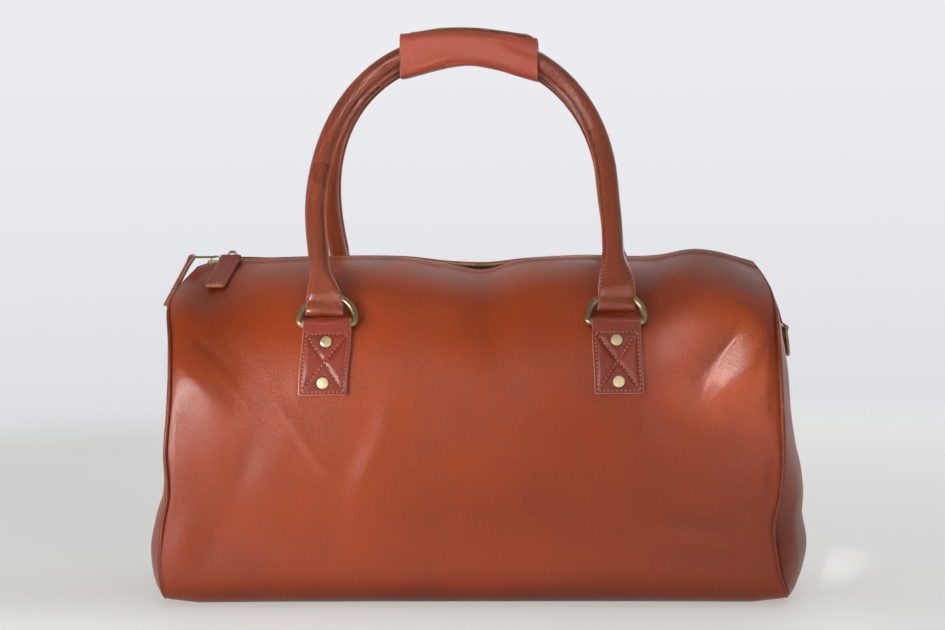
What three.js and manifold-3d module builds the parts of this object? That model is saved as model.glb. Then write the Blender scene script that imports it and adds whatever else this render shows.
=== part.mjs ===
// A soft leather holdall that stands on its base: one wrap of leather makes the front, base and back,
// two bellied end panels close it, and a zip runs along the top. Two rolled handles hang on D-rings
// in riveted tabs, a leather grip holds the handles together, and each end has a D-ring for a strap.
// Millimetres, +Z up, +X along the bag, the front facing -Y, the origin under the middle of the base.
import * as THREE from "three";
import { mergeVertices } from "three/addons/utils/BufferGeometryUtils.js";
import Module from "manifold-3d";

const wasm = await Module();
wasm.setup();

const { lerp, smoothstep, degToRad } = THREE.MathUtils;

// Leather and fits
const LEATHER = 2;
const GAP = 0.4;

// Body section, front to back
const HALF_LENGTH = 236;
const HALF_DEPTH_MIDDLE = 121;
const HALF_DEPTH_END = 113;
const BASE_SHARE = 0.96; // half width of the base, as a share of the half depth
const FOOT_RADIUS_MIDDLE = 34;
const FOOT_RADIUS_END = 20;
const SHOULDER_HEIGHT = 105;
const WALL_EASE = 0.4; // how far up the wall it keeps the upright direction of its ends
const ARCH_RISE = 0.75; // how far up the arch the wall runs on upright
const ARCH_REACH_MIDDLE = 0.66; // how far out the top runs on level, as a share of the half depth
const ARCH_REACH_END = 0.55;
const LIP_DROP_MIDDLE = 8; // fall of the top from the zip out to its reach
const LIP_DROP_END = 24;
const ZIP_HALF_GAP = 6;
const SEAM_LIFT = 2.8; // the base rises at its ends so that the piping clears the ground
const SEAM_LIFT_FROM = 0.88; // share of the half length where that rise starts
const EVENNESS = 4; // power that keeps the depth, and a panel's belly, even over most of its width

// Height of the leather beside the zip, along the bag
const TOP_LINE = [
  { x: -222, front: 262, back: 262 },
  { x: -180, front: 263, back: 263 },
  { x: -110, front: 264, back: 264 },
  { x: -60, front: 263, back: 263 },
  { x: -20, front: 257, back: 259 },
  { x: 12, front: 255, back: 258 },
  { x: 45, front: 261, back: 261 },
  { x: 95, front: 263, back: 263 },
  { x: 150, front: 262, back: 262 },
  { x: 195, front: 267, back: 266 },
  { x: 215, front: 266, back: 265 },
];

// Where the wrap ends at each end seam, by height
const SEAM_LINE = [
  { z: 0, left: -240, right: 236 },
  { z: 35, left: -241, right: 231 },
  { z: 62, left: -238, right: 228 },
  { z: 87, left: -233, right: 233 },
  { z: 119, left: -234, right: 235 },
  { z: 159, left: -231, right: 234 },
  { z: 207, left: -232, right: 232 },
  { z: 232, left: -231, right: 227 },
  { z: 247, left: -228, right: 222 },
  { z: 257, left: -223, right: 217 },
  { z: 265, left: -214, right: 211 },
  { z: 271, left: -204, right: 203 },
];

// Dents and folds: where, how long and wide, how far the length is turned from level, how deep
const FOLDS = [
  { face: "front", x: -201, z: 197, long: 32, wide: 10, turn: -45, deep: 4 },
  { face: "front", x: -207, z: 170, long: 26, wide: 11, turn: -40, deep: -2.5 },
  { face: "front", x: 188, z: 197, long: 34, wide: 8, turn: 47, deep: 3.5 },
  { face: "front", x: 206, z: 179, long: 28, wide: 8, turn: 50, deep: -2.5 },
  { face: "front", x: 214, z: 167, long: 26, wide: 7, turn: 52, deep: 2.5 },
  { face: "front", x: 172, z: 64, long: 30, wide: 11, turn: -14, deep: 3 },
  { face: "front", x: -199, z: 100, long: 18, wide: 34, turn: 0, deep: 3 },
  { face: "front", x: 20, z: 77, long: 120, wide: 32, turn: 0, deep: 2.5 },
  { face: "front", x: 6, z: 233, long: 40, wide: 16, turn: -80, deep: 3 },
  { face: "front", x: -206, z: 244, long: 24, wide: 16, turn: 0, deep: 6 },
  { face: "back", x: -190, z: 192, long: 34, wide: 12, turn: -42, deep: 4 },
  { face: "back", x: 195, z: 187, long: 34, wide: 12, turn: 44, deep: 4 },
  { face: "back", x: -60, z: 82, long: 90, wide: 34, turn: 4, deep: 3 },
  { face: "back", x: 150, z: 77, long: 40, wide: 18, turn: -12, deep: 3 },
];

// Steps of the faceted body
const LENGTH_STEPS = 26;
const SECTION_STEPS = [2, 4, 4, 9]; // base, foot, wall, arch
const WALL_STRETCH = 2; // places of the wall and the arch in that list
const ARCH_STRETCH = 3;

// End panels: how far they belly out, and where the belly hangs lowest
const PANEL_STEPS = 8;
const PANEL_BELLY = 9;
const PANEL_SAG = { left: 6, right: 17 };
const PANEL_SAG_HEIGHT = 45;
const PANEL_SAG_SPREAD = 42;
const PANEL_FOOT_EVENNESS = 9; // power that keeps the belly full down to the base
const PANEL_TOP_EVENNESS = 2;

// Corded seam
const PIPING_RADIUS = 2.2;
const PIPING_PROUD = 0.2;
const PIPING_SIDES = 6;

// Zip
const TAPE_THICKNESS = 1;
const TAPE_INSET = 1 - 1 / SECTION_STEPS[ARCH_STRETCH]; // the tape lies under the last facets of the arch
const CHAIN_HALF_WIDTH = 2.6;
const CHAIN_THICKNESS = 2;
const SLIDER = { length: 12, width: 9, height: 2.6, bridge: 8, bridgeHeight: 5, bridgeWidth: 3, wall: 1.2 };
const SLIDERS = [
  { name: "a", x: -211, linkEnd: [-230, 0, 265], pullEnd: [-253, 0, 224], across: [0, 1, 0] },
  { name: "b", x: -197, linkEnd: [-197, -10, 265], pullEnd: [-206, -50, 244], across: [1, -0.2, 0] },
];
const LINK = { wire: 0.8, halfWidth: 2.6, tightness: 0.3, steps: 16, sides: 5 };
const PULL = { length: 48, width: 14, thickness: 3, corner: 2.5, cornerSteps: 3, eyeInset: 3 };

// Handle rings, tabs and rivets
const TAB_X = 110.5;
const TAB = { width: 37.4, bottom: 164, top: 213, thickness: 3, acrossSteps: 2, upSteps: 6 };
const BAR_HEIGHT = 215; // height on the wall where the ring's straight bar lies
const RING = { halfWidth: 21.6, rise: 24, corner: 3, wire: 2.4, lean: 27 };
const RING_STEPS = 20;
const WIRE_SIDES = 6;
const LOOP_WALL = 1.6;
const LOOP_SIDES = 12;
const RIVET = { radius: 4.5, edge: 0.6, shoulderRadius: 3.2, shoulder: 1.5, height: 1.7, sides: 10 };
const RIVET_HEIGHTS = { upper: 203, lower: 173 };

// Handles: rolled leather that opens into a flat end round each ring
const HANDLE_RADIUS = 7.5;
const PADDLE = { halfWidth: 14.7, halfThickness: 4.4, start: 10, flat: 17, taper: 28 };
const ARCH = { x: -9, z: 305, power: 2.15 };
const ARCH_HALF_WIDTH = { front: 115.5, back: 114 };
const HANDLE_TOP = { front: 433.5, back: 428.4 };
const HANDLE_HALF_SPREAD = 8.2; // half the distance between the two handles at the top
const HANDLE_MEET_DROP = 20; // how far below its top a handle has come in to that spread
const HANDLE_LEAN_EASE = 6; // power of the bend where the leaning legs straighten under the grip
const ARCH_POINTS = 13;
const HANDLE_STEPS = 42;
const HANDLE_CROWDING = 0.07; // how much the steps crowd together towards the flat ends
const HANDLE_LEG = { z: 266, left: -119, right: 107.5 }; // where the legs pass the bag's top
const HANDLE_SIDES = 8;

// Grip round both handles
const GRIP_LINE = [
  { x: -59, top: 441.6, bottom: 405.6 },
  { x: -5, top: 443.8, bottom: 415.8 },
  { x: 50, top: 436.6, bottom: 402.2 },
];
const GRIP = { halfDepth: 19.5, corner: 8, steps: 8, cornerSteps: 3 };
const GRIP_TONGUE = { thickness: 2.4, front: -13, back: 12, inset: 8 };

// Rings for a strap, on the end panels
const END_RING = { halfWidth: 15.5, rise: 22, corner: 3, wire: 1.5 };
const END_TAB = { width: 20.8, top: 239, bottom: 207, thickness: 2.4, acrossSteps: 2, upSteps: 4 };
const END_BAR_HEIGHT = 207;
const END_LOOP_WALL = 1.3;

const COLOURS = {
  leather: 0x9a4a2c,
  edge: 0x7d3a22,
  grip: 0xa8543a,
  piping: 0x8a4026,
  tape: 0x3a2a22,
  brass: 0xa8905c,
  rivet: 0xd9cfa6,
};

const FACES = { front: -1, back: 1 };
const ENDS = { left: -1, right: 1 };
const END_SHARES = { left: 0, right: 1 };
const HEIGHT_TOLERANCE = 1e-6; // share of a curve, when a height is looked up on it

// A smooth curve through one named column of a table
function column(rows, key, name) {
  const at = rows.map((row) => row[key]);
  const values = rows.map((row) => row[name]);
  const curve = new THREE.CubicInterpolant(at, values, 1);
  return (where) => curve.evaluate(where)[0];
}

const topLine = {
  front: column(TOP_LINE, "x", "front"),
  back: column(TOP_LINE, "x", "back"),
};
const seamLine = {
  left: column(SEAM_LINE, "z", "left"),
  right: column(SEAM_LINE, "z", "right"),
};

// Half of the body's section at a share of its length: base, foot, wall and arch, as depth and height
function halfSection(share, face) {
  const across = 2 * share - 1;
  const fullness = 1 - Math.abs(across) ** EVENNESS;
  const depth = lerp(HALF_DEPTH_END, HALF_DEPTH_MIDDLE, fullness);
  const foot = lerp(FOOT_RADIUS_END, FOOT_RADIUS_MIDDLE, fullness);
  const reach = lerp(ARCH_REACH_END, ARCH_REACH_MIDDLE, fullness) * depth;
  const drop = lerp(LIP_DROP_END, LIP_DROP_MIDDLE, fullness);
  const base = depth * BASE_SHARE;
  const lift = SEAM_LIFT * smoothstep(Math.abs(across), SEAM_LIFT_FROM, 1);
  const footTop = lift + foot;
  const top = topLine[face](across * HALF_LENGTH);
  const point = (y, z) => new THREE.Vector2(y, z);
  return [
    new THREE.LineCurve(point(0, lift), point(base - foot, lift)),
    new THREE.EllipseCurve(base - foot, footTop, foot, foot, -Math.PI / 2, 0),
    new THREE.CubicBezierCurve(
      point(base, footTop),
      point(base, lerp(footTop, SHOULDER_HEIGHT, WALL_EASE)),
      point(depth, lerp(SHOULDER_HEIGHT, footTop, WALL_EASE)),
      point(depth, SHOULDER_HEIGHT),
    ),
    new THREE.CubicBezierCurve(
      point(depth, SHOULDER_HEIGHT),
      point(depth, lerp(SHOULDER_HEIGHT, top, ARCH_RISE)),
      point(reach, top - drop),
      point(ZIP_HALF_GAP, top),
    ),
  ];
}

// How far the leather is pushed in at a point of a face
function foldDepth(face, x, z) {
  let depth = 0;
  for (const fold of FOLDS.filter((row) => row.face === face)) {
    const turn = degToRad(fold.turn);
    const along = (x - fold.x) * Math.cos(turn) + (z - fold.z) * Math.sin(turn);
    const aside = (z - fold.z) * Math.cos(turn) - (x - fold.x) * Math.sin(turn);
    depth += fold.deep * Math.exp(-((along / fold.long) ** 2) - (aside / fold.wide) ** 2);
  }
  return depth;
}

// A point of the body and its outward direction; offset is how far out of the leather's face it lies
function bodyPoint(share, face, stretch, t, offset) {
  const curve = halfSection(share, face)[stretch];
  const flat = curve.getPoint(t);
  const along = curve.getTangent(t);
  const x = lerp(seamLine.left(flat.y), seamLine.right(flat.y), share);
  const normal = new THREE.Vector3(0, FACES[face] * along.y, -along.x);
  const point = new THREE.Vector3(x, FACES[face] * flat.x, flat.y);
  point.addScaledVector(normal, offset - foldDepth(face, x, flat.y));
  return { point, normal };
}

// The places where a half section is cut into facets, from the middle of the base up to the zip
const STATIONS = [{ stretch: 0, t: 0 }];
SECTION_STEPS.forEach((steps, stretch) => {
  for (let step = 1; step <= steps; step += 1) {
    STATIONS.push({ stretch, t: step / steps });
  }
});

// The whole section at a share of the length, from the front lip round the base to the back lip
function sectionPoints(share, offset) {
  const side = (face) =>
    STATIONS.map(({ stretch, t }) => bodyPoint(share, face, stretch, t, offset));
  return [...side("front").reverse(), ...side("back").slice(1)];
}

// How far along a rising curve it reaches a height
function placeAtHeight(curve, height) {
  let low = 0;
  let high = 1;
  while (high - low > HEIGHT_TOLERANCE) {
    const middle = (low + high) / 2;
    if (curve.getPoint(middle).y < height) {
      low = middle;
    } else {
      high = middle;
    }
  }
  return low;
}

// The point of the body's wall or arch at a place along the bag and a height
function wallPoint(face, x, height, offset) {
  const share = (x - seamLine.left(height)) / (seamLine.right(height) - seamLine.left(height));
  const stretch = height < SHOULDER_HEIGHT ? WALL_STRETCH : ARCH_STRETCH;
  const t = placeAtHeight(halfSection(share, face)[stretch], height);
  return bodyPoint(share, face, stretch, t, offset);
}

// A point of an end panel: aside runs from -1 at the front seam to 1 at the back seam
function panelPoint(end, edgeFront, edgeBack, aside, inward) {
  const point = edgeFront.clone().lerp(edgeBack, (aside + 1) / 2);
  const top = topLine.front(ENDS[end] * HALF_LENGTH);
  const upward = 2 * (point.z / top) - 1;
  const evenness = upward < 0 ? PANEL_FOOT_EVENNESS : PANEL_TOP_EVENNESS;
  const fullness = (1 - Math.abs(aside) ** EVENNESS) * (1 - Math.abs(upward) ** evenness);
  const lowness = Math.exp(-(((point.z - PANEL_SAG_HEIGHT) / PANEL_SAG_SPREAD) ** 2));
  const belly = (PANEL_BELLY + PANEL_SAG[end] * lowness) * Math.max(fullness, 0);
  point.x += ENDS[end] * (GAP + LEATHER + belly - inward);
  return point;
}

// The two seam edges of an end panel at a station of the section
function panelEdges(end, station) {
  const inset = -(LEATHER + GAP);
  const edge = (face) => bodyPoint(END_SHARES[end], face, station.stretch, station.t, inset).point;
  return [edge("front"), edge("back")];
}

// A point on the middle line of an end panel's outer face, at a height on the arch
function panelMiddle(end, aside, height) {
  const t = placeAtHeight(halfSection(END_SHARES[end], "front")[ARCH_STRETCH], height);
  const [front, back] = panelEdges(end, { stretch: ARCH_STRETCH, t });
  return panelPoint(end, front, back, aside / Math.abs(front.y), 0);
}

// A closed mesh from points and faces, with its faces turned outwards
function closedGeometry(points, triangles) {
  const geometry = new THREE.BufferGeometry().setFromPoints(points);
  let volume = 0;
  for (const [a, b, c] of triangles) {
    volume += points[a].dot(points[b].clone().cross(points[c]));
  }
  const outward = volume < 0 ? triangles.map(([a, b, c]) => [a, c, b]) : triangles;
  geometry.setIndex(outward.flat());
  return geometry;
}

// A wall between two equal grids of points; round closes each row on itself
function wallBetween(outer, inner, round) {
  const rows = outer.length;
  const columns = outer[0].length;
  const points = [...outer.flat(), ...inner.flat()];
  const triangles = [];
  const at = (layer, row, place) => layer * rows * columns + row * columns + (place % columns);
  const quad = (a, b, c, d) => triangles.push([a, b, c], [a, c, d]);
  const cells = round ? columns : columns - 1;
  for (let row = 0; row < rows - 1; row += 1) {
    for (let place = 0; place < cells; place += 1) {
      quad(at(0, row, place), at(0, row, place + 1), at(0, row + 1, place + 1), at(0, row + 1, place));
      quad(at(1, row, place), at(1, row + 1, place), at(1, row + 1, place + 1), at(1, row, place + 1));
    }
  }
  for (let place = 0; place < cells; place += 1) {
    const last = rows - 1;
    quad(at(0, 0, place), at(1, 0, place), at(1, 0, place + 1), at(0, 0, place + 1));
    quad(at(0, last, place), at(0, last, place + 1), at(1, last, place + 1), at(1, last, place));
  }
  if (!round) {
    for (let row = 0; row < rows - 1; row += 1) {
      const last = columns - 1;
      quad(at(0, row, 0), at(0, row + 1, 0), at(1, row + 1, 0), at(1, row, 0));
      quad(at(0, row, last), at(1, row, last), at(1, row + 1, last), at(0, row + 1, last));
    }
  }
  return closedGeometry(points, triangles);
}

// A solid through equal rings of points; looped joins the last ring to the first
function loft(rings, looped) {
  const sides = rings[0].length;
  const points = rings.flat();
  const triangles = [];
  const at = (ring, side) => (ring % rings.length) * sides + (side % sides);
  const spans = looped ? rings.length : rings.length - 1;
  for (let ring = 0; ring < spans; ring += 1) {
    for (let side = 0; side < sides; side += 1) {
      triangles.push([at(ring, side), at(ring, side + 1), at(ring + 1, side + 1)]);
      triangles.push([at(ring, side), at(ring + 1, side + 1), at(ring + 1, side)]);
    }
  }
  if (!looped) {
    const last = rings.length - 1;
    for (let side = 1; side < sides - 1; side += 1) {
      triangles.push([at(0, 0), at(0, side + 1), at(0, side)]);
      triangles.push([at(last, 0), at(last, side), at(last, side + 1)]);
    }
  }
  return closedGeometry(points, triangles);
}

// A ring of points round a centre, in the plane of two directions
function ovalRing(centre, wide, thick, halfWidth, halfThickness, sides) {
  return Array.from({ length: sides }, (_, side) => {
    const angle = ((side + 0.5) / sides) * 2 * Math.PI;
    return centre
      .clone()
      .addScaledVector(wide, halfWidth * Math.cos(angle))
      .addScaledVector(thick, halfThickness * Math.sin(angle));
  });
}

// Joining and cutting
function toSolid(geometry) {
  const bare = geometry.clone();
  bare.deleteAttribute("normal");
  bare.deleteAttribute("uv");
  const merged = mergeVertices(bare);
  return new wasm.Manifold(
    new wasm.Mesh({
      numProp: 3,
      vertProperties: merged.attributes.position.array,
      triVerts: new Uint32Array(merged.index.array),
    }),
  );
}

function toGeometry(solid) {
  const mesh = solid.getMesh();
  const geometry = new THREE.BufferGeometry();
  geometry.setAttribute("position", new THREE.BufferAttribute(mesh.vertProperties, 3));
  geometry.setIndex(new THREE.BufferAttribute(mesh.triVerts, 1));
  return geometry;
}

const join = (...parts) => toGeometry(parts.map(toSolid).reduce((whole, part) => whole.add(part)));
const cut = (part, ...tools) =>
  toGeometry(tools.map(toSolid).reduce((left, tool) => left.subtract(tool), toSolid(part)));

// The round wire of a D-ring: a straight bar, two tight corners and a bow, in a placed plane
function ringWire(ring, place, extra) {
  const outline = new THREE.Path();
  const bend = ring.halfWidth - ring.corner;
  outline.moveTo(-bend, 0);
  outline.lineTo(bend, 0);
  outline.absarc(bend, ring.corner, ring.corner, -Math.PI / 2, 0);
  outline.absellipse(0, ring.corner, ring.halfWidth, ring.rise - ring.corner, 0, Math.PI);
  outline.absarc(-bend, ring.corner, ring.corner, Math.PI, 1.5 * Math.PI);
  const points = outline.getSpacedPoints(RING_STEPS).slice(0, -1);
  const route = points.map((flat) => new THREE.Vector3(flat.x, flat.y, 0).applyMatrix4(place));
  const curve = new THREE.CatmullRomCurve3(route, true);
  return new THREE.TubeGeometry(curve, RING_STEPS, ring.wire + extra, WIRE_SIDES, true);
}

// A placed plane: its first and second directions, and its origin
function plane(across, up, origin) {
  const first = across.clone().normalize();
  const third = first.clone().cross(up).normalize();
  const second = third.clone().cross(first);
  return new THREE.Matrix4().makeBasis(first, second, third).setPosition(origin);
}

// A closed roll of leather along a ring's bar
function barLoop(place, width, radius) {
  const roll = new THREE.CylinderGeometry(radius, radius, width, LOOP_SIDES);
  roll.rotateZ(Math.PI / 2);
  return roll.applyMatrix4(place);
}

const bag = new THREE.Group();

function addPiece(name, geometry, colour, roughness = 0.45, metalness = 0) {
  const material = new THREE.MeshStandardMaterial({ color: colour, roughness, metalness });
  const mesh = new THREE.Mesh(geometry, material);
  mesh.name = name;
  bag.add(mesh);
  return mesh;
}

function addBrass(name, geometry, colour = COLOURS.brass) {
  return addPiece(name, geometry, colour, 0.35, 1);
}

// Body: wrap, end panels and piping
const shares = Array.from({ length: LENGTH_STEPS + 1 }, (_, step) => step / LENGTH_STEPS);
const layer = (offset) => shares.map((share) => sectionPoints(share, offset).map(({ point }) => point));
addPiece("body_wrap", wallBetween(layer(0), layer(-LEATHER), false), COLOURS.leather);

for (const end of Object.keys(ENDS)) {
  const stations = STATIONS.slice(SECTION_STEPS[0]);
  const grid = (inward) =>
    stations.map((station) => {
      const [front, back] = panelEdges(end, station);
      return Array.from({ length: PANEL_STEPS + 1 }, (_, step) =>
        panelPoint(end, front, back, (2 * step) / PANEL_STEPS - 1, inward),
      );
    });
  addPiece(`end_panel_${end}`, wallBetween(grid(0), grid(LEATHER), false), COLOURS.leather);

  const outward = new THREE.Vector3(ENDS[end], 0, 0);
  const rings = sectionPoints(END_SHARES[end], PIPING_PROUD).map(({ point, normal }) => {
    const centre = point.clone().addScaledVector(outward, GAP + PIPING_RADIUS);
    return ovalRing(centre, outward, normal, PIPING_RADIUS, PIPING_RADIUS, PIPING_SIDES);
  });
  addPiece(`piping_${end}`, loft(rings, true), COLOURS.piping);
}

// Zip: tape under the lips, chain between them
const tapeStations = (share, depth) => {
  const edge = (face, t) => bodyPoint(share, face, ARCH_STRETCH, t, -(LEATHER + GAP) - depth).point;
  const front = edge("front", 1);
  const back = edge("back", 1);
  const middle = front.clone().lerp(back, 0.5);
  return [edge("front", TAPE_INSET), front, middle, back, edge("back", TAPE_INSET)];
};
// Its rows run from right to left, so that its facets split the same way as the wrap's above them
const tapeLayer = (depth) => shares.map((share) => tapeStations(share, depth)).reverse();
const tape = wallBetween(tapeLayer(0), tapeLayer(TAPE_THICKNESS), false);
addPiece("zip_tape", tape, COLOURS.tape, 0.9);

const chainMiddle = (share) => {
  const [, front, , back] = tapeStations(share, 0);
  return new THREE.Vector3(front.x, 0, Math.max(front.z, back.z) + GAP);
};
const chainRings = shares.map((share) => {
  const { x, z } = chainMiddle(share);
  return [
    new THREE.Vector3(x, -CHAIN_HALF_WIDTH, z),
    new THREE.Vector3(x, CHAIN_HALF_WIDTH, z),
    new THREE.Vector3(x, CHAIN_HALF_WIDTH, z + CHAIN_THICKNESS),
    new THREE.Vector3(x, -CHAIN_HALF_WIDTH, z + CHAIN_THICKNESS),
  ];
});
addBrass("zip_chain", loft(chainRings, false));

// A zip slider: a low block with a bridge that its link passes under
function sliderShape() {
  const block = new THREE.BoxGeometry(SLIDER.length, SLIDER.width, SLIDER.height);
  block.translate(0, 0, SLIDER.height / 2);
  const outline = new THREE.Shape();
  const half = SLIDER.bridge / 2;
  outline.moveTo(-half, 0);
  outline.lineTo(half, 0);
  outline.lineTo(half, SLIDER.bridgeHeight - SLIDER.wall);
  outline.lineTo(half - SLIDER.wall, SLIDER.bridgeHeight);
  outline.lineTo(-half + SLIDER.wall, SLIDER.bridgeHeight);
  outline.lineTo(-half, SLIDER.bridgeHeight - SLIDER.wall);
  const eye = new THREE.Path();
  eye.moveTo(-half + SLIDER.wall, SLIDER.wall);
  eye.lineTo(-half + SLIDER.wall, SLIDER.bridgeHeight - SLIDER.wall);
  eye.lineTo(half - SLIDER.wall, SLIDER.bridgeHeight - SLIDER.wall);
  eye.lineTo(half - SLIDER.wall, SLIDER.wall);
  outline.holes.push(eye);
  const bridge = new THREE.ExtrudeGeometry(outline, { depth: SLIDER.bridgeWidth, bevelEnabled: false });
  bridge.translate(0, 0, -SLIDER.bridgeWidth / 2);
  bridge.rotateX(Math.PI / 2);
  bridge.translate(0, 0, SLIDER.height - SLIDER.wall / 2);
  return join(block, bridge);
}

for (const slider of SLIDERS) {
  const share = (slider.x - seamLine.left(TOP_LINE[0].front)) / (2 * HALF_LENGTH);
  const seat = chainMiddle(share).z + CHAIN_THICKNESS + GAP;
  const eyeHeight = seat + SLIDER.height + SLIDER.bridgeHeight / 2;
  const eye = new THREE.Vector3(slider.x, 0, eyeHeight);
  const linkEnd = new THREE.Vector3(...slider.linkEnd);
  const pullEnd = new THREE.Vector3(...slider.pullEnd);
  const across = new THREE.Vector3(...slider.across).normalize();

  const reach = linkEnd.clone().sub(eye);
  const linkSide = new THREE.Vector3(0, 0, 1).cross(reach).normalize();
  const corners = [
    eye.clone().addScaledVector(linkSide, LINK.halfWidth),
    eye.clone().addScaledVector(linkSide, -LINK.halfWidth),
    linkEnd.clone().addScaledVector(linkSide, -LINK.halfWidth),
    linkEnd.clone().addScaledVector(linkSide, LINK.halfWidth),
  ];
  const linkCurve = new THREE.CatmullRomCurve3(corners, true, "catmullrom", LINK.tightness);
  const link = (extra) =>
    new THREE.TubeGeometry(linkCurve, LINK.steps, LINK.wire + extra, LINK.sides, true);
  addBrass(`zip_link_${slider.name}`, link(0));

  const body = sliderShape().translate(slider.x, 0, seat);
  addBrass(`zip_slider_${slider.name}`, cut(body, link(GAP)));

  const outline = new THREE.Shape();
  const half = PULL.width / 2 - PULL.corner;
  outline.absarc(half, PULL.corner, PULL.corner, -Math.PI / 2, 0);
  outline.absarc(half, PULL.length - PULL.corner, PULL.corner, 0, Math.PI / 2);
  outline.absarc(-half, PULL.length - PULL.corner, PULL.corner, Math.PI / 2, Math.PI);
  outline.absarc(-half, PULL.corner, PULL.corner, Math.PI, 1.5 * Math.PI);
  const strip = new THREE.ExtrudeGeometry(outline, {
    depth: PULL.thickness,
    bevelEnabled: false,
    curveSegments: PULL.cornerSteps,
  });
  strip.translate(0, -PULL.eyeInset, -PULL.thickness / 2);
  strip.applyMatrix4(plane(across, pullEnd.clone().sub(linkEnd), linkEnd));
  addPiece(`zip_pull_${slider.name}`, cut(strip, link(GAP)), COLOURS.edge);
}

// Handles, rings, tabs and rivets, on both faces
const ringPlace = (face, x) => {
  const loop = RING.wire + GAP + LOOP_WALL;
  const { point } = wallPoint(face, x, BAR_HEIGHT, GAP + loop);
  const lean = degToRad(RING.lean);
  const up = new THREE.Vector3(0, -FACES[face] * Math.sin(lean), Math.cos(lean));
  return plane(new THREE.Vector3(1, 0, 0), up, point);
};

function addTab(face, x, label) {
  const place = ringPlace(face, x);
  const grid = (offset) =>
    Array.from({ length: TAB.upSteps + 1 }, (_, up) =>
      Array.from({ length: TAB.acrossSteps + 1 }, (_, aside) => {
        const height = lerp(TAB.bottom, TAB.top, up / TAB.upSteps);
        const along = x + TAB.width * (aside / TAB.acrossSteps - 0.5);
        return wallPoint(face, along, height, offset).point;
      }),
    );
  const slab = wallBetween(grid(GAP + TAB.thickness), grid(GAP), false);
  const roll = barLoop(place, TAB.width, RING.wire + GAP + LOOP_WALL);
  addPiece(`tab_${label}`, cut(join(slab, roll), ringWire(RING, place, GAP)), COLOURS.leather);
  addBrass(`d_ring_${label}`, ringWire(RING, place, 0));

  for (const [rank, height] of Object.entries(RIVET_HEIGHTS)) {
    const { point, normal } = wallPoint(face, x, height, GAP + TAB.thickness + GAP);
    const profile = [
      new THREE.Vector2(0, 0),
      new THREE.Vector2(RIVET.radius, 0),
      new THREE.Vector2(RIVET.radius, RIVET.edge),
      new THREE.Vector2(RIVET.shoulderRadius, RIVET.shoulder),
      new THREE.Vector2(0, RIVET.height),
    ];
    const head = new THREE.LatheGeometry(profile, RIVET.sides);
    const rivet = addBrass(`rivet_${label}_${rank}`, head, COLOURS.rivet);
    rivet.position.copy(point);
    rivet.quaternion.setFromUnitVectors(new THREE.Vector3(0, 1, 0), normal);
  }
}

// The line of a handle: up from one ring, over the arch and down to the other
function handleLine(face) {
  const start = (x, rise) => new THREE.Vector3(0, rise, 0).applyMatrix4(ringPlace(face, x));
  const foot = start(-TAB_X, PADDLE.start);
  const top = HANDLE_TOP[face];
  const leaning = (z) => {
    const way = Math.min((z - foot.z) / (top - HANDLE_MEET_DROP - foot.z), 1);
    const eased = way + (way - way ** HANDLE_LEAN_EASE) / (HANDLE_LEAN_EASE - 1);
    return lerp(foot.y, FACES[face] * HANDLE_HALF_SPREAD, eased);
  };
  const arch = Array.from({ length: ARCH_POINTS }, (_, step) => {
    const angle = Math.PI * (1 - step / (ARCH_POINTS - 1));
    const round = (value) => Math.sign(value) * Math.abs(value) ** (2 / ARCH.power);
    const x = ARCH.x + ARCH_HALF_WIDTH[face] * round(Math.cos(angle));
    const z = ARCH.z + (top - ARCH.z) * round(Math.sin(angle));
    return new THREE.Vector3(x, leaning(z), z);
  });
  const leg = (end) => new THREE.Vector3(HANDLE_LEG[end], leaning(HANDLE_LEG.z), HANDLE_LEG.z);
  const flatEnd = (x) => [start(x, PADDLE.start), start(x, PADDLE.start + PADDLE.flat)];
  return new THREE.CatmullRomCurve3([
    ...flatEnd(-TAB_X),
    leg("left"),
    ...arch,
    leg("right"),
    ...flatEnd(TAB_X).reverse(),
  ]);
}

function addHandle(face) {
  const line = handleLine(face);
  const length = line.getLength();
  const facing = new THREE.Vector3(0, FACES[face], 0);
  const rings = Array.from({ length: HANDLE_STEPS + 1 }, (_, step) => {
    const even = step / HANDLE_STEPS;
    const place = even - HANDLE_CROWDING * Math.sin(2 * Math.PI * even);
    const fromEnd = length * Math.min(place, 1 - place);
    const roundness = smoothstep(fromEnd, PADDLE.flat, PADDLE.flat + PADDLE.taper);
    const along = line.getTangentAt(place);
    const wide = facing.clone().cross(along).normalize();
    const thick = along.clone().cross(wide);
    const halfWidth = lerp(PADDLE.halfWidth, HANDLE_RADIUS, roundness);
    const halfThickness = lerp(PADDLE.halfThickness, HANDLE_RADIUS, roundness);
    return ovalRing(line.getPointAt(place), wide, thick, halfWidth, halfThickness, HANDLE_SIDES);
  });
  const channels = [-TAB_X, TAB_X].map((x) => ringWire(RING, ringPlace(face, x), GAP));
  addPiece(`handle_${face}`, cut(loft(rings, false), ...channels), COLOURS.leather);
}

for (const face of Object.keys(FACES)) {
  for (const [end, side] of Object.entries(ENDS)) {
    addTab(face, side * TAB_X, `${face}_${end}`);
  }
  addHandle(face);
}

// Grip: a sleeve of stiff leather round both handles, closed by a tongue laid over its top
const gripTop = column(GRIP_LINE, "x", "top");
const gripBottom = column(GRIP_LINE, "x", "bottom");
const gripStart = GRIP_LINE[0].x;
const gripEnd = GRIP_LINE[GRIP_LINE.length - 1].x;

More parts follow.
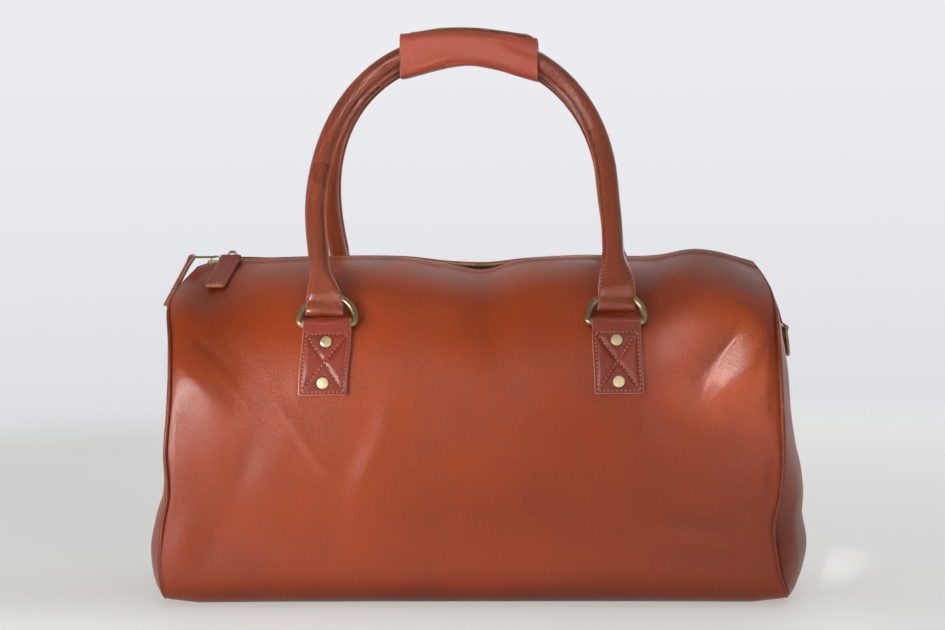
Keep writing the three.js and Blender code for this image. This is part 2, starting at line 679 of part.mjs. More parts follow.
function gripSection(x, inset) {
  const outline = new THREE.Path();
  const corner = GRIP.corner - inset;
  const depth = GRIP.halfDepth - GRIP.corner;
  const high = gripTop(x) - GRIP.corner;
  const low = gripBottom(x) + GRIP.corner;
  outline.absarc(depth, high, corner, 0, Math.PI / 2);
  outline.absarc(-depth, high, corner, Math.PI / 2, Math.PI);
  outline.absarc(-depth, low, corner, Math.PI, 1.5 * Math.PI);
  outline.absarc(depth, low, corner, 1.5 * Math.PI, 2 * Math.PI);
  const arcs = outline.curves.filter((curve) => curve.isEllipseCurve);
  const flat = arcs.flatMap((curve) => curve.getPoints(GRIP.cornerSteps));
  return flat.map((point) => new THREE.Vector3(x, point.x, point.y));
}

const gripPlaces = Array.from({ length: GRIP.steps + 1 }, (_, step) =>
  lerp(gripStart, gripEnd, step / GRIP.steps),
);
const sleeve = wallBetween(
  gripPlaces.map((x) => gripSection(x, 0)),
  gripPlaces.map((x) => gripSection(x, LEATHER)),
  true,
);
const tongueRings = Array.from({ length: GRIP.steps + 1 }, (_, step) => {
  const x = lerp(gripStart + GRIP_TONGUE.inset, gripEnd - GRIP_TONGUE.inset, step / GRIP.steps);
  const low = gripTop(x) - LEATHER / 2;
  const high = gripTop(x) + GRIP_TONGUE.thickness;
  return [
    new THREE.Vector3(x, GRIP_TONGUE.front, low),
    new THREE.Vector3(x, GRIP_TONGUE.back, low),
    new THREE.Vector3(x, GRIP_TONGUE.back, high),
    new THREE.Vector3(x, GRIP_TONGUE.front, high),
  ];
});
addPiece("handle_grip", join(sleeve, loft(tongueRings, false)), COLOURS.grip);

// End rings: each hangs by its bar in the rolled foot of a leather tab on the end panel
for (const end of Object.keys(ENDS)) {
  const loop = END_RING.wire + GAP + END_LOOP_WALL;
  const bar = panelMiddle(end, 0, END_BAR_HEIGHT);
  const below = panelMiddle(end, 0, END_BAR_HEIGHT - END_RING.rise);
  const down = below.sub(bar);
  bar.x += ENDS[end] * (GAP + loop);
  const place = plane(new THREE.Vector3(0, 1, 0), down, bar);
  const grid = (offset) =>
    Array.from({ length: END_TAB.upSteps + 1 }, (_, up) =>
      Array.from({ length: END_TAB.acrossSteps + 1 }, (_, aside) => {
        const height = lerp(END_TAB.bottom, END_TAB.top, up / END_TAB.upSteps);
        const point = panelMiddle(end, END_TAB.width * (aside / END_TAB.acrossSteps - 0.5), height);
        point.x += ENDS[end] * offset;
        return point;
      }),
    );
  const slab = wallBetween(grid(GAP + END_TAB.thickness), grid(GAP), false);
  const roll = barLoop(place, END_TAB.width, loop);
  addPiece(`end_tab_${end}`, cut(join(slab, roll), ringWire(END_RING, place, GAP)), COLOURS.leather);
  addBrass(`end_ring_${end}`, ringWire(END_RING, place, 0));
}

export default bag;
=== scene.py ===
"""The looks of a soft leather holdall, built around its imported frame.

Lengths in the tables and shape functions are millimetres in the frame's own axes: +X along the bag,
the front facing -Y, +Z up. A piece's mesh is turned to metres when it is made.
"""

import math

import bpy
import numpy as np
from mathutils import Matrix, noise


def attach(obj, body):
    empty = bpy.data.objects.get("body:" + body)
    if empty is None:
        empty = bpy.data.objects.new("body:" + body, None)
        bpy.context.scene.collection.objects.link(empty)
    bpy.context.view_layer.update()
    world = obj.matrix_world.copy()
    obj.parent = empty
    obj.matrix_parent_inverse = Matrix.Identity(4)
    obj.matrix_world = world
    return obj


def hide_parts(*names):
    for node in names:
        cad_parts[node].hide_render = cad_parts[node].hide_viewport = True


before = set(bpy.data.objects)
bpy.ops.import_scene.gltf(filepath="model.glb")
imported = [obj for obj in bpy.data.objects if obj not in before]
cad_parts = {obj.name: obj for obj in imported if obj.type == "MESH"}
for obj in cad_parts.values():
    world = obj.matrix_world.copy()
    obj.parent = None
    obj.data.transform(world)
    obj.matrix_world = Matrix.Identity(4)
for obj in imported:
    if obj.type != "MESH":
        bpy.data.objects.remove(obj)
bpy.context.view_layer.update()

bl_info = {
    "name": "Leather Holdall",
    "version": (1, 0, 0),
    "blender": (4, 5, 0),
    "location": "3D View > Sidebar > Holdall",
    "description": "Builds the leather, brass and thread of a holdall around its packed frame",
    "category": "Add Mesh",
}

MM = 0.001

# Stretches of a half section, from the middle of the base up to the zip
BASE, FOOT, WALL, ARCH = range(4)
FACES = {"front": -1, "back": 1}
ENDS = {"left": -1, "right": 1}
END_SHARE = {"left": 0.0, "right": 1.0}

# Body, as in the frame
LEATHER = 2
GAP = 0.4
HALF_LENGTH = 236
HALF_DEPTH = {"middle": 121, "end": 113}
BASE_SHARE = 0.96
FOOT_RADIUS = {"middle": 34, "end": 20}
SHOULDER_HEIGHT = 105
WALL_EASE = 0.4
ARCH_RISE = 0.75
ARCH_REACH = {"middle": 0.66, "end": 0.55}
LIP_DROP = {"middle": 8, "end": 24}
ZIP_HALF_GAP = 6
LIP_RISE = 1.1
SEAM_LIFT = 2.8
SEAM_LIFT_FROM = 0.88
EVENNESS = 4
SHOULDER = {"left": (8, 236, 22), "right": (5, 240, 24)}
SHOULDER_POWER = 8
HALVINGS = 24
TOP_LINE = {
    "x": (-236, -222, -180, -110, -60, -20, 12, 45, 95, 150, 195, 215, 236),
    "front": (256, 262, 263, 264, 263, 257, 255, 261, 263, 262, 267, 265, 257),
    "back": (256, 262, 263, 264, 263, 259, 258, 261, 263, 262, 266, 264, 257),
}
SEAM_LINE = {
    "z": (0, 35, 62, 87, 119, 159, 207, 232, 247, 257, 265, 271),
    "left": (-240, -241, -238, -233, -234, -231, -232, -231, -228, -223, -214, -204),
    "right": (236, 231, 228, 233, 235, 234, 232, 227, 222, 217, 211, 203),
}

# Dents and folds of each face of the frame: x, z, length, width, turn from level in degrees, depth
FOLDS = {
    "front": (
        (-201, 197, 32, 10, -45, 4),
        (-207, 170, 26, 11, -40, -2.5),
        (188, 197, 34, 8, 47, 3.5),
        (206, 179, 28, 8, 50, -2.5),
        (214, 167, 26, 7, 52, 2.5),
        (172, 64, 30, 11, -14, 3),
        (-199, 100, 18, 34, 0, 3),
        (20, 77, 120, 32, 0, 2.5),
        (6, 233, 40, 16, -80, 3),
        (-206, 244, 24, 16, 0, 6),
    ),
    "back": (
        (-190, 192, 34, 12, -42, 4),
        (195, 187, 34, 12, 44, 4),
        (-60, 82, 90, 34, 4, 3),
        (150, 77, 40, 18, -12, 3),
    ),
}

# Smaller creases that only the fine surface holds, in the same columns
CREASES = {
    "front": (
        (188, 197, 34, 8, 47, -3.5),
        (214, 167, 26, 7, 52, -2.2),
        (184, 191, 36, 14, 49, 3.4),
        (206, 179, 28, 8, 50, 1.0),
        (225, 185, 36, 4.5, 86, -1.3),
        (-214, 205, 18, 3.6, -48, 0.9),
        (-196, 184, 24, 4.0, -46, -0.8),
        (-210, 168, 24, 10, -46, -0.8),
        (-191, 207, 34, 10, -46, 3.2),
        (-181, 217, 34, 11, -46, 2.2),
        (-170, 227, 34, 12, -46, 1.1),
        (172, 64, 30, 11, -14, -1.6),
        (176, 42, 30, 9, -8, 1.3),
        (156, 56, 18, 6, -6, -1.8),
        (184, 53, 14, 5, -10, -1.5),
        (-199, 100, 18, 34, 0, -2.4),
        (-198, 114, 22, 10, 85, -0.7),
        (-175, 112, 20, 13, 78, 1.0),
        (-207, 40, 18, 11, 60, 1.0),
        (-228, 44, 16, 8, 80, -0.8),
        (-128, 129, 25, 3.6, -55, -0.7),
        (-123, 132, 24, 6.0, -55, -0.6),
        (-114, 138, 24, 9.0, -55, -0.4),
        (-114, 111, 7, 3.5, -20, -0.6),
        (-80, 106, 42, 9, 68, -1.6),
        (-66, 110, 42, 13, 68, -0.8),
        (136, 132, 11, 9, -15, -2.2),
        (150, 142, 20, 9, -30, 0.8),
        (44, 150, 40, 16, 55, -0.8),
        (78, 132, 44, 18, 50, 0.8),
        (226, 92, 20, 5, 80, 1.0),
        (156, 250, 26, 9, 35, -2.0),
    ),
    "back": (
        (-196, 184, 26, 4, -46, 0.9),
        (203, 180, 26, 4, 46, 0.9),
        (160, 60, 26, 3, -14, 0.6),
        (-150, 70, 34, 9, 12, 0.8),
        (70, 130, 40, 12, 60, -0.9),
        (-110, 140, 36, 10, -50, 0.8),
    ),
}

# Patches of fine parallel wrinkles: x, z, half length, half width, turn in degrees, strength
CRUMPLES = {
    "front": (
        (171, 60, 32, 11, -14, 0.7),
        (193, 182, 36, 14, 49, 0.35),
    ),
    "back": (
        (165, 62, 30, 12, -12, 1),
    ),
}

# Fine relief of the wrap: its grid, its swells and where they calm, the tuck and gathers at its seams
WRAP_COLUMNS = 293
WRAP_CROWDING = 0.35
WRAP_STEPS = {"front": (6, 12, 26, 150), "back": (5, 10, 12, 53)}
WRAP_SEEDS = {"face": 7.3, "fine": 3, "gathers": 5}
ARCH_CROWDING = 1.2
ARCH_LENGTH = 190
SHELL_STEP = 4
SWELLS = (46, 19)
FINE_SWELL = 0.5
CALM = {"foot": (8, 50), "seam": (2, 16), "lip": (3, 22), "tab": (2, 16)}
TUCK = {"width": 2.4, "upper_loss": 0.8}
UPPER_SEAM = (205, 255)
GATHERS = {"wave": 5.5, "inset": 5, "width": 6, "foot": (6, 20)}
LIP_BENDS = (30, 60, 90)
LIP_EASE = (6, 13)
LIP_ROW = {"inset": 4.2, "groove": 0.35, "width": 0.9, "sunk": 0.25, "shares": (0.02, 0.98), "points": 400}

# Painted shade on the wrap: darker in its seams, its folds and towards its foot, where shade falls
SEAM_SHADE = {"dark": 0.2, "width": 1.3}
FOLD_SHADE = {"dark": 0.08, "deepest": 6}
FOOT_SHADE = {"dark": 0.75, "height": 20, "end_loss": 0.5}

# End panels and corded seams; the toe is the full lower corner of an end
TOE = {"left": 0, "right": 4}
TOE_HEIGHT = 6
TOE_SPREAD = 16
PANEL_BELLY = 9
PANEL_SAG = {"left": 6, "right": 17}
PANEL_SAG_HEIGHT = 45
PANEL_SAG_SPREAD = 42
PANEL_FINE_BELLY = {"left": 0, "right": 6}
PANEL_FOOT_EVENNESS = 14
PANEL_TOP_EVENNESS = 2
PANEL_UPPER = {"height": 92, "spread": 32}
PANEL_COLUMNS = 101
PANEL_STEPS = ((FOOT, 16), (WALL, 22), (ARCH, 90))
PANEL_TOP = 262
PANEL_TAB_REST = {"half_width": 14, "bottom": 200, "ease": (2, 18)}
PANEL_SWELLS = (48, 21)
PANEL_SWELL_RISE = 2.2
PANEL_CALM = {"seam": (2, 24), "foot": (3, 16)}
PANEL_SEEDS = {"swells": (4.1, 6.2), "gathers": 9.1}
# Painted shade on the end panels: darker beside their seams and low on their bellies
PANEL_SEAM_SHADE = {"dark": 0.3, "width": 2}
PANEL_LOW_SHADE = {"dark": 0.4, "height": 55, "spread": 40}
PIPING_RADIUS = 1.6
PIPING_PROUD = -0.3
PIPING_SIDES = 14
PIPING_STEPS = ((BASE, 30), (FOOT, 26), (WALL, 36), (ARCH, 110))
PIPING_SLACK = {"top": (205, 250), "foot": (25, 80), "sinks": 0.9, "thins": 0.55}
PIPING_WOBBLE = {"rise": 0.22, "wave": 9, "seed": 3.7}
PIPING_SWELL = {"rise": 0.05, "wave": 4, "seed": 5.1}

# Stitches: place along it, fatness and rise, as shares of its half length and of the thread's radius
STITCH_STATIONS = (
    (-1, 0.15, -1.0),
    (-0.9, 0.7, -0.5),
    (-0.55, 1, 0.1),
    (0, 1.05, 0.3),
    (0.55, 1, 0.1),
    (0.9, 0.7, -0.5),
    (1, 0.15, -1.0),
)
STITCH_SIDES = 6
STITCH_SIGHT = 0.4
STITCH_SEAT = 0.1
HOLE_SHARE = 0.6
HOLE_SIDES = 8
ROW_POINTS = 40

# Straps folded round a bar: stations at the raw end, steps of each stretch, and rounded edges
PLY_GAP = 0.05
STRAP_END = (0, 0.1, 0.3)
STRAP_END_REACH = 0.6
STRAP_STEPS = {"straight": 44, "bend": 14, "turn": 17, "home_skip": 3}
STRAP_EDGE = (60, 30, 0, -30, -60)
STRAP_BACK_COLUMNS = 5
STRAP_EASE = {"side": (0.2, 1.6), "end": (0.2, 1.8)}
STRAP_POINTS = 200
RAW_END = 0.6
CLOSED = 0.02
QUILT_ROW = 2.4
QUILT_GROOVE = {"depth": 0.25, "width": 0.8}

# Zip
TAPE_THICKNESS = 1
TAPE_INSET = 8 / 9
TAPE_COLUMNS = 181
TAPE_STEPS = 9
CHAIN_THICKNESS = 2
CHAIN_POINTS = 400
TOOTH = {"half_length": 0.62, "half_width": 1.75, "corner": 0.5, "corner_steps": 3}
TOOTH_BEVEL = 0.3
TOOTH_ASIDE = 0.8
SLIDER = {"length": 12, "width": 9, "height": 2.6, "bridge": 8, "bridge_height": 5, "bridge_width": 3}
SLIDER_NOSE = ((-1, -0.62), (-0.8, -0.86), (-0.2, -0.8), (0.4, -1), (0.86, -0.98), (1, -0.7))
SLIDER_BEVEL = 0.5
BRIDGE = {"half_wall": 0.6, "points": 33, "sides": 12, "bow": 0.7, "squareness": 4}
SLIDERS = {
    "a": {"x": -211, "link_end": (-230, 0, 265), "pull_end": (-253, 0, 224), "across": (0, 1, 0)},
    "b": {"x": -197, "link_end": (-197, -10, 265), "pull_end": (-206, -50, 244), "across": (1, -0.2, 0)},
}
PULL_WIDTH = {"a": 14, "b": 16.5}
LINK = {"wire": 0.8, "half_width": 2.6, "corner": 1.6, "corner_steps": 9, "step": 0.5, "sides": 10}
PULL = {"length": 48, "thickness": 3, "corner": 2.5, "eye_inset": 3, "neck": 9, "columns": 21}
PULL_SWELL = {"rise": 0.45, "side": (1.2, 4), "end": (1.5, 5)}
PULL_ROW = {"inset": 0.55, "from": 7, "end": 2.4}
PULL_THREAD = {"stitch_pitch": 2.9, "stitch_length": 1.9, "thread_width": 0.55}

# Handle tabs, rings and rivets
TAB_X = 110.5
TAB = {"width": 37.4, "bottom": 164, "thickness": 3, "corner": 1.6, "neck": 6.5, "columns": 61}
TAB_REST = {"height": 191, "half_height": 31}
TAB_SPAN = {"below": 2, "above": 12}
TAB_PUFF = {"left": 0.6, "right": 1.2}
TAB_LEAN = {"left": -2.7, "right": 1.9}
TAB_ROW_FROM = 7.4
TAB_ROW_EASE = {"side": (-0.5, 1.5), "top": 1}
TAB_RIM_PUFF = 0.3
BAR_HEIGHT = 215
RING = {"half_width": 21.6, "rise": 24, "corner": 3, "wire": 2.4}
RING_LEAN = math.radians(27)
RING_SQUARENESS = 2.6
RING_STEPS = {"corner": 9, "bow": 60, "bar": 20}
RING_STEP = 0.9
RING_SIDES = 18
LOOP_WALL = 1.6
RIVET_HEIGHTS = {"upper": 203, "lower": 173}
RIVET_PROFILE = (
    (4.2, -0.6), (4.5, 0.1), (4.5, 0.6), (4.35, 0.9), (4.0, 1.08), (2.8, 1.2), (1.3, 1.27), (0.1, 1.28)
)
# A dark ring round each rivet head that paints the shade there: radius and height
RIVET_SHADE_RING = ((4.8, -0.6), (5.4, 0.15), (5.2, 0.42), (4.4, 0.45))
RIVET_SIDES = 40
RIVET_SEAT = 0.1
RIVET_PRESS = {"share": 0.9, "radius": 5.6}

# Handles; a leg's shifts are a distance along the bag, a place from the handle's end and a spread
HANDLE_RADIUS = 7.5
HANDLE_STEP = 1.25
HANDLE_POINTS = 3000
PADDLE = {"half_width": 15.0, "half_thickness": 4.4, "flat": 17, "taper": 28, "squareness": 2.6, "knot": 27}
PADDLE_START = {"left": 7.2, "right": 9.5}
PADDLE_FLARE = {"left": (8, 44), "right": (18, 52)}
PADDLE_SEWN = {"left": (7, 19), "right": (14, 40)}
PADDLE_STITCH_LEAN = 0.5
PADDLE_BROW = {
    "from_end": (0, 5, 11, 13, 16, 24, 45), "half_thickness": (4.2, 4.2, 3.6, 4.4, 5.7, 6.0, 7.5)
}
PADDLE_HOLLOW = {"left": 0.2, "right": 0.08, "place": 24, "spread": 9, "width": 0.4}
# The parting's dark is painted shade along the groove where a flat end's layers meet
PADDLE_PARTING = {"depth": 0.05, "width": 0.3, "dark": 0.8, "dark_width": 0.16}
PADDLE_RAW = {"share": 0.75, "side": (0.86, 0.97), "end": (2, 6)}
LEG_SHIFTS = {"left": ((-2.5, 0, 40), (-2.5, 26, 14)), "right": ((2, 55, 35),)}
ROLL_EASE = (6, 8)
ROLL_SEAM = math.radians(14)
ROLL_SEAM_GRID = {"reach": 16, "close_points": 15, "other_points": 44}
ROLL_FIN_WIDTH = math.radians(9)
ROLL_RAW = {"share": 0.9, "width": math.radians(5)}
# The pinch's dark is painted shade in the groove beside a handle's seam
ROLL_PINCH = {"depth": 0.7, "aside": 0.3, "width": 0.12, "dark": 0.35, "dark_width": 0.14}
ROLL_FLEX = 0.8
ROLL_SLANT = 1.5
CRINKLE = {"slant": 2.0, "round": 4, "wave": 4.2, "seed": 2.1, "flat_share": 0.5}
BROAD_CRINKLE = {"share": 0.6, "round": 9, "wave": 9, "seed": 3.3}
HANDLE_ARCH = {"x": -9, "z": 305, "power": 2.15, "points": 13}
HANDLE_HALF_WIDTH = {"front": 115.5, "back": 114}
HANDLE_TOP = {"front": 433.5, "back": 428.4}
HANDLE_HALF_SPREAD = 8.2
HANDLE_MEET_DROP = 20
HANDLE_LEAN_EASE = 6
HANDLE_LEG = {"z": 266, "left": -119, "right": 107.5}

# Grip
GRIP_LINE = {"x": (-59, -5, 50), "top": (441.6, 443.8, 436.6), "bottom": (405.6, 415.8, 402.2)}
GRIP = {"half_depth": 19.5, "corner": 8, "corner_steps": 9, "edge": 0.7, "sides": 96, "columns": 89}
GRIP_FRONT_FROM = 8
GRIP_HOLLOW = {"depth": 0.9, "share": 0.42, "width": 0.2, "full_x": -5, "full_width": 30}
GRIP_SWELL = {"rise": 0.5, "wave": 17, "seed": 2.2}
GRIP_TOP_SWELL = {"rise": 0.25, "wave": 9, "seed": 5.5}
GRIP_EDGE_BENDS = (35, 70, 110, 145)
GRIP_LINING = {"rings": 9, "raw": 0.2}
GRIP_TONGUE = {"thickness": 2.4, "front": -13, "back": 12, "left_inset": 8, "right_inset": 4, "corner": 7}
TONGUE_GRID = {"columns": 80, "sides": 28}
TONGUE_EDGE = {"power": 0.4, "raw_from": 0.75, "corner_share": 0.9}
TONGUE_TIP = {"thin": 0.25, "left": (0, 25), "right": (-2, 6)}
TONGUE_SEAT = {"sunk": 0.2, "curl": 0.3, "curl_width": 6}

# Creases of the grip's front: x, z, length, width, turn in degrees, depth
GRIP_CREASES = (
    (-30, 419.5, 11, 2.2, 20, -1.5),
    (-31, 424.5, 13, 3.0, 20, 0.8),
    (33, 429.5, 17, 2.2, -23, -1.5),
    (32, 424.5, 17, 3.0, -23, 1.0),
    (-2, 411, 40, 3.2, 2, 0.5),
)

# End rings
END_RING = {"half_width": 15.5, "rise": 22, "corner": 3, "wire": 1.5}
END_RING_SQUARENESS = 2.2
END_TAB = {"width": 20.8, "top": 239, "thickness": 2.4, "corner": 2.5, "neck": 4.5, "columns": 33}
END_TAB_SPAN = {"below": 10, "above": 3}
END_TAB_ROW = {"inset": 0.8, "from": 10}
END_TAB_PUFF = 0.6
END_HINGE = {"left": (-244.08, 205.59), "right": (244.37, 205.41)}
END_BAR_HEIGHT = 207
END_LOOP_WALL = 1.3

# Camera, fitted to the picture's frame
PICTURE_WIDTH = 945
FOCAL_PIXELS = 2650
SENSOR_MM = 36
CAMERA_TURN = math.radians(3)
CAMERA_TILT = math.radians(4)
CAMERA_ROLL = math.radians(0.6)
CAMERA_DISTANCE = 2.12
CAMERA_HEIGHT = 0.365
CAMERA_SIDE = -0.0044

# Studio, in metres: softboxes with place, aim, width, height, watts and spread in degrees
SOFTBOXES = (
    ("left_window", (-1.5, -1.6, 0.4), (0, 0, 0.15), 0.8, 0.6, 6, 180),
    ("side_window", (-1.9, -1.0, 0.3), (0, 0, 0.15), 0.5, 0.5, 6, 180),
    ("right_strip", (0.75, -2.0, 0.6), (0, 0, 0.25), 0.3, 1.4, 4.2, 180),
    ("front", (-0.1, -2.1, 1.5), (0, 0, 0.15), 0.5, 0.5, 2, 180),
    ("back", (0.6, 2.1, 0.6), (0, 0, 0.15), 1.2, 0.8, 6, 180),
    ("body_spot", (-1.35, -1.6, 0.45), (-0.12, -0.12, 0.15), 0.3, 0.3, 0.27, 12),
    ("grip_spot", (-1.0, -2.0, 0.75), (-0.01, -0.01, 0.38), 0.3, 0.3, 0.11, 12),
    ("fold_spot", (-0.18, -1.67, 1.68), (0.196, -0.107, 0.178), 0.08, 0.08, 0.024, 3),
    ("handle_spot", (0.6, -2.05, 0.65), (-0.04, -0.03, 0.36), 0.2, 0.2, 0.08, 8),
    ("floor_strip", (-0.08, -0.3, 1.2), (-0.08, -0.21, 0), 0.8, 0.1, 0.11, 14),
)

# Soft glows of the room: direction and strength
ROOM_GLOWS = (((1, 0, 0.2), 0.25), ((0, 1, 0.25), 0.9), ((0, -1, 0.3), 0.12))
FLOOR = {"radius": 2.5, "sides": 96, "fade": (0.95, 1.6), "glow": 0.77}
BACKDROP = {"heights": (-0.1, 0.02), "tones": ((0, 0.9), (0.6, 0.98), (1, 1.02))}

# Sizes of the patterns in the materials
MOTTLE = 60
PORE = 1.7
SOFT_SWELL = 9
WRINKLE_WANDER = {"size": 12, "reach": 4.0}
CUT_FIBRE = 1.2
THREAD_STRAND = 2.0
HOLE_FIBRE = 0.8
TAPE_WEAVE = 5.5
TARNISH = 5
BRASS_SCRATCH = 0.7
MARKS = ("raw", "shade", "flex", "lie")

SHARP_ANGLE = math.radians(50)


def linear(code):
    """An sRGB hex value as linear red, green and blue."""
    channels = [(code >> shift & 255) / 255 for shift in (16, 8, 0)]
    return tuple(c / 12.92 if c <= 0.04045 else ((c + 0.055) / 1.055) ** 2.4 for c in channels)


def length_setting(name, description, millimetres):
    """A length that a user may change."""
    return bpy.props.FloatProperty(
        name=name, description=description, default=millimetres * MM, min=0, precision=5, unit="LENGTH"
    )


def colour_setting(name, description, code):
    """A colour that a user may change."""
    return bpy.props.FloatVectorProperty(
        name=name, description=description, default=linear(code), min=0, max=1, size=3, subtype="COLOR"
    )


class HoldallSizes(bpy.types.PropertyGroup):
    """Sizes of the fine work on the leather"""

    unevenness: length_setting("Unevenness", "How far the soft leather wanders in and out", 0.8)
    seam_tuck: length_setting("Seam tuck", "How far the leather is drawn in beside a corded seam", 0.8)
    pucker: length_setting("Pucker", "Height of the gathers along the corded seams", 0.4)
    stitch_pitch: length_setting("Stitch pitch", "Distance from one stitch to the next", 3.2)
    stitch_length: length_setting("Stitch length", "Visible length of one stitch", 2.1)
    thread_width: length_setting("Thread width", "Thickness of the sewing thread", 0.7)
    stitch_inset: length_setting("Stitch inset", "Distance of a stitch row from the leather's edge", 2.5)
    quilt: length_setting("Quilting", "How far the leather swells between stitch rows", 0.9)
    seam_fin: length_setting("Handle seam", "How far the sewn edge stands out of a rolled handle", 1.9)
    crinkle: length_setting("Handle crinkle", "Height of the fine folds across a rolled handle", 0.06)
    tooth_pitch: length_setting("Tooth pitch", "Distance from one zip tooth to the next on a side", 2.6)


class HoldallColours(bpy.types.PropertyGroup):
    """Colours of the leathers, threads and metals"""

    body: colour_setting("Body leather", "Wrap and end panels", 0x993A10)
    piping: colour_setting("Piping leather", "Corded seams", 0x8A3A1D)
    handle: colour_setting("Handle leather", "Rolled handles", 0x8C4229)
    tab: colour_setting("Tab leather", "Ring tabs", 0x862F17)
    grip: colour_setting("Grip leather", "Sleeve round the handles", 0xB04C32)
    pull: colour_setting("Pull leather", "Zip pulls", 0x8A3824)
    raw_edge: colour_setting("Raw edge", "Cut edges of the leather", 0xB9765E)
    tongue_edge: colour_setting("Tongue edge", "Burnished edge of the grip's tongue", 0x8A6A3A)
    thread: colour_setting("Thread", "Waxed sewing thread", 0xBC7E66)
    # Painted shade: a dark colour that stands for the shade inside stitch holes and round rivet heads
    needle_hole: colour_setting("Needle hole", "Inside of the stitch holes", 0x561C10)
    zip_tape: colour_setting("Zip tape", "Woven tape", 0x3A241A)
    antique_brass: colour_setting("Antique brass", "Rings, teeth and sliders", 0xB3A27A)
    bright_brass: colour_setting("Bright brass", "Rivet heads", 0xF2E4B0)
    floor: colour_setting("Floor", "Pale studio floor", 0xBCBDBA)
    backdrop: colour_setting("Backdrop", "Pale studio backdrop", 0xE9EAEE)


def sizes():
    """The user's sizes in millimetres, by name."""
    group = bpy.context.scene.holdall_sizes
    return {name: getattr(group, name) / MM for name in HoldallSizes.__annotations__}


def colour(name):
    """One of the user's colours."""
    return tuple(getattr(bpy.context.scene.holdall_colours, name))


def mix(first, second, share):
    return first + (second - first) * share


def smooth(value, start, end):
    """0 before start, 1 after end, and an even bend between."""
    share = np.clip((value - start) / (end - start), 0, 1)
    return share * share * (3 - 2 * share)


def bell(value, width):
    return np.exp(-((value / width) ** 2))


def unit(vectors):
    return vectors / np.linalg.norm(vectors, axis=-1, keepdims=True)


def curve_through(at, values):
    """A smooth curve through a table's column, level beyond its ends."""
    at = np.array(at, float)
    values = np.array(values, float)
    secants = ((values[1:] - values[:-1]).T / (at[1:] - at[:-1])).T
    slopes = np.concatenate([secants[:1], (secants[:-1] + secants[1:]) / 2, secants[-1:]])

    def curve(where):
        where = np.clip(where, at[0], at[-1])
        before = np.clip(np.searchsorted(at, where, side="right") - 1, 0, len(at) - 2)
        step = at[before + 1] - at[before]
        p = (where - at[before]) / step
        if values.ndim > 1:
            p, step = p[..., None], step[..., None]
        start = (1 + 2 * p) * (1 - p) ** 2 * values[before] + p * (1 - p) ** 2 * step * slopes[before]
        end = p * p * (3 - 2 * p) * values[before + 1] + p * p * (p - 1) * step * slopes[before + 1]
        return start + end

    return curve


TOP = {face: curve_through(TOP_LINE["x"], TOP_LINE[face]) for face in FACES}
SEAM = {end: curve_through(SEAM_LINE["z"], SEAM_LINE[end]) for end in ENDS}


def unevenness(first, second, wave, seed):
    """Smooth noise between about -1 and 1 over a face, with swells of a wave's width."""
    places = np.stack([np.ravel(first) / wave, np.ravel(second) / wave], -1).tolist()
    return np.reshape([noise.noise((u, v, seed)) for u, v in places], np.shape(first))


def two_swells(first, second, waves, seeds):
    """A broad unevenness with a finer and lower one on it."""
    broad, fine = (unevenness(first, second, wave, seed) for wave, seed in zip(waves, seeds))
    return broad + FINE_SWELL * fine


def distances(route):
    """How far along a route each of its points lies."""
    return np.concatenate([[0], np.cumsum(np.linalg.norm(np.diff(route, axis=0), axis=1))])


def turns(count):
    """Even angles round a full turn."""
    return np.arange(count) * 2 * math.pi / count


def signed_power(wave, power):
    """A wave raised to a power with its sign kept, which squares off a round section."""
    return np.sign(wave) * np.abs(wave) ** power


# Body surface


def bezier(corners, t):
    """A cubic curve's depth and height, and its direction, at t."""
    weights = ((1 - t) ** 3, 3 * t * (1 - t) ** 2, 3 * t * t * (1 - t), t**3)
    slopes = ((1 - t) ** 2, 2 * t * (1 - t), t * t)
    y, z = (sum(w * corner[axis] for w, corner in zip(weights, corners)) for axis in (0, 1))
    steps = list(zip(corners, corners[1:]))
    dy, dz = (sum(s * (b[axis] - a[axis]) for s, (a, b) in zip(slopes, steps)) for axis in (0, 1))
    length = np.hypot(dy, dz)
    return y, z, dy / length, dz / length


def half_section(share, face, stretch, t):
    """Depth and height of a half section at a share of the bag's length, and its direction there."""
    across = np.abs(2 * share - 1)
    fullness = 1 - across**EVENNESS
    depth = mix(HALF_DEPTH["end"], HALF_DEPTH["middle"], fullness)
    base = depth * BASE_SHARE
    lift = SEAM_LIFT * smooth(across, SEAM_LIFT_FROM, 1)
    foot = mix(FOOT_RADIUS["end"], FOOT_RADIUS["middle"], fullness)
    foot_top = lift + foot
    if stretch == BASE:
        return (base - foot) * t, lift, 1, 0
    if stretch == FOOT:
        angle = (t - 1) * math.pi / 2
        y = base - foot + foot * np.cos(angle)
        return y, foot_top + foot * np.sin(angle), -np.sin(angle), np.cos(angle)
    if stretch == WALL:
        low = mix(foot_top, SHOULDER_HEIGHT, WALL_EASE)
        high = mix(SHOULDER_HEIGHT, foot_top, WALL_EASE)
        return bezier([(base, foot_top), (base, low), (depth, high), (depth, SHOULDER_HEIGHT)], t)
    top = TOP[face]((2 * share - 1) * HALF_LENGTH)
    reach = mix(ARCH_REACH["end"], ARCH_REACH["middle"], fullness) * depth
    drop = mix(LIP_DROP["end"], LIP_DROP["middle"], fullness)
    rise = mix(SHOULDER_HEIGHT, top, ARCH_RISE)
    return bezier([(depth, SHOULDER_HEIGHT), (depth, rise), (reach, top - drop), (ZIP_HALF_GAP, top)], t)


def along_and_aside(x, z, centre_x, centre_z, turn):
    """Distances from a fold's middle, along it and across it."""
    turn = math.radians(turn)
    along = (x - centre_x) * math.cos(turn) + (z - centre_z) * math.sin(turn)
    aside = (z - centre_z) * math.cos(turn) - (x - centre_x) * math.sin(turn)
    return along, aside


def fold_depth(folds, face, x, z):
    """How far the leather is pushed in at a point of a face."""
    depth = np.zeros(np.shape(x))
    for fold_x, fold_z, long, wide, turn, deep in folds[face]:
        along, aside = along_and_aside(x, z, fold_x, fold_z, turn)
        depth += deep * bell(along, long) * bell(aside, wide)
    return depth


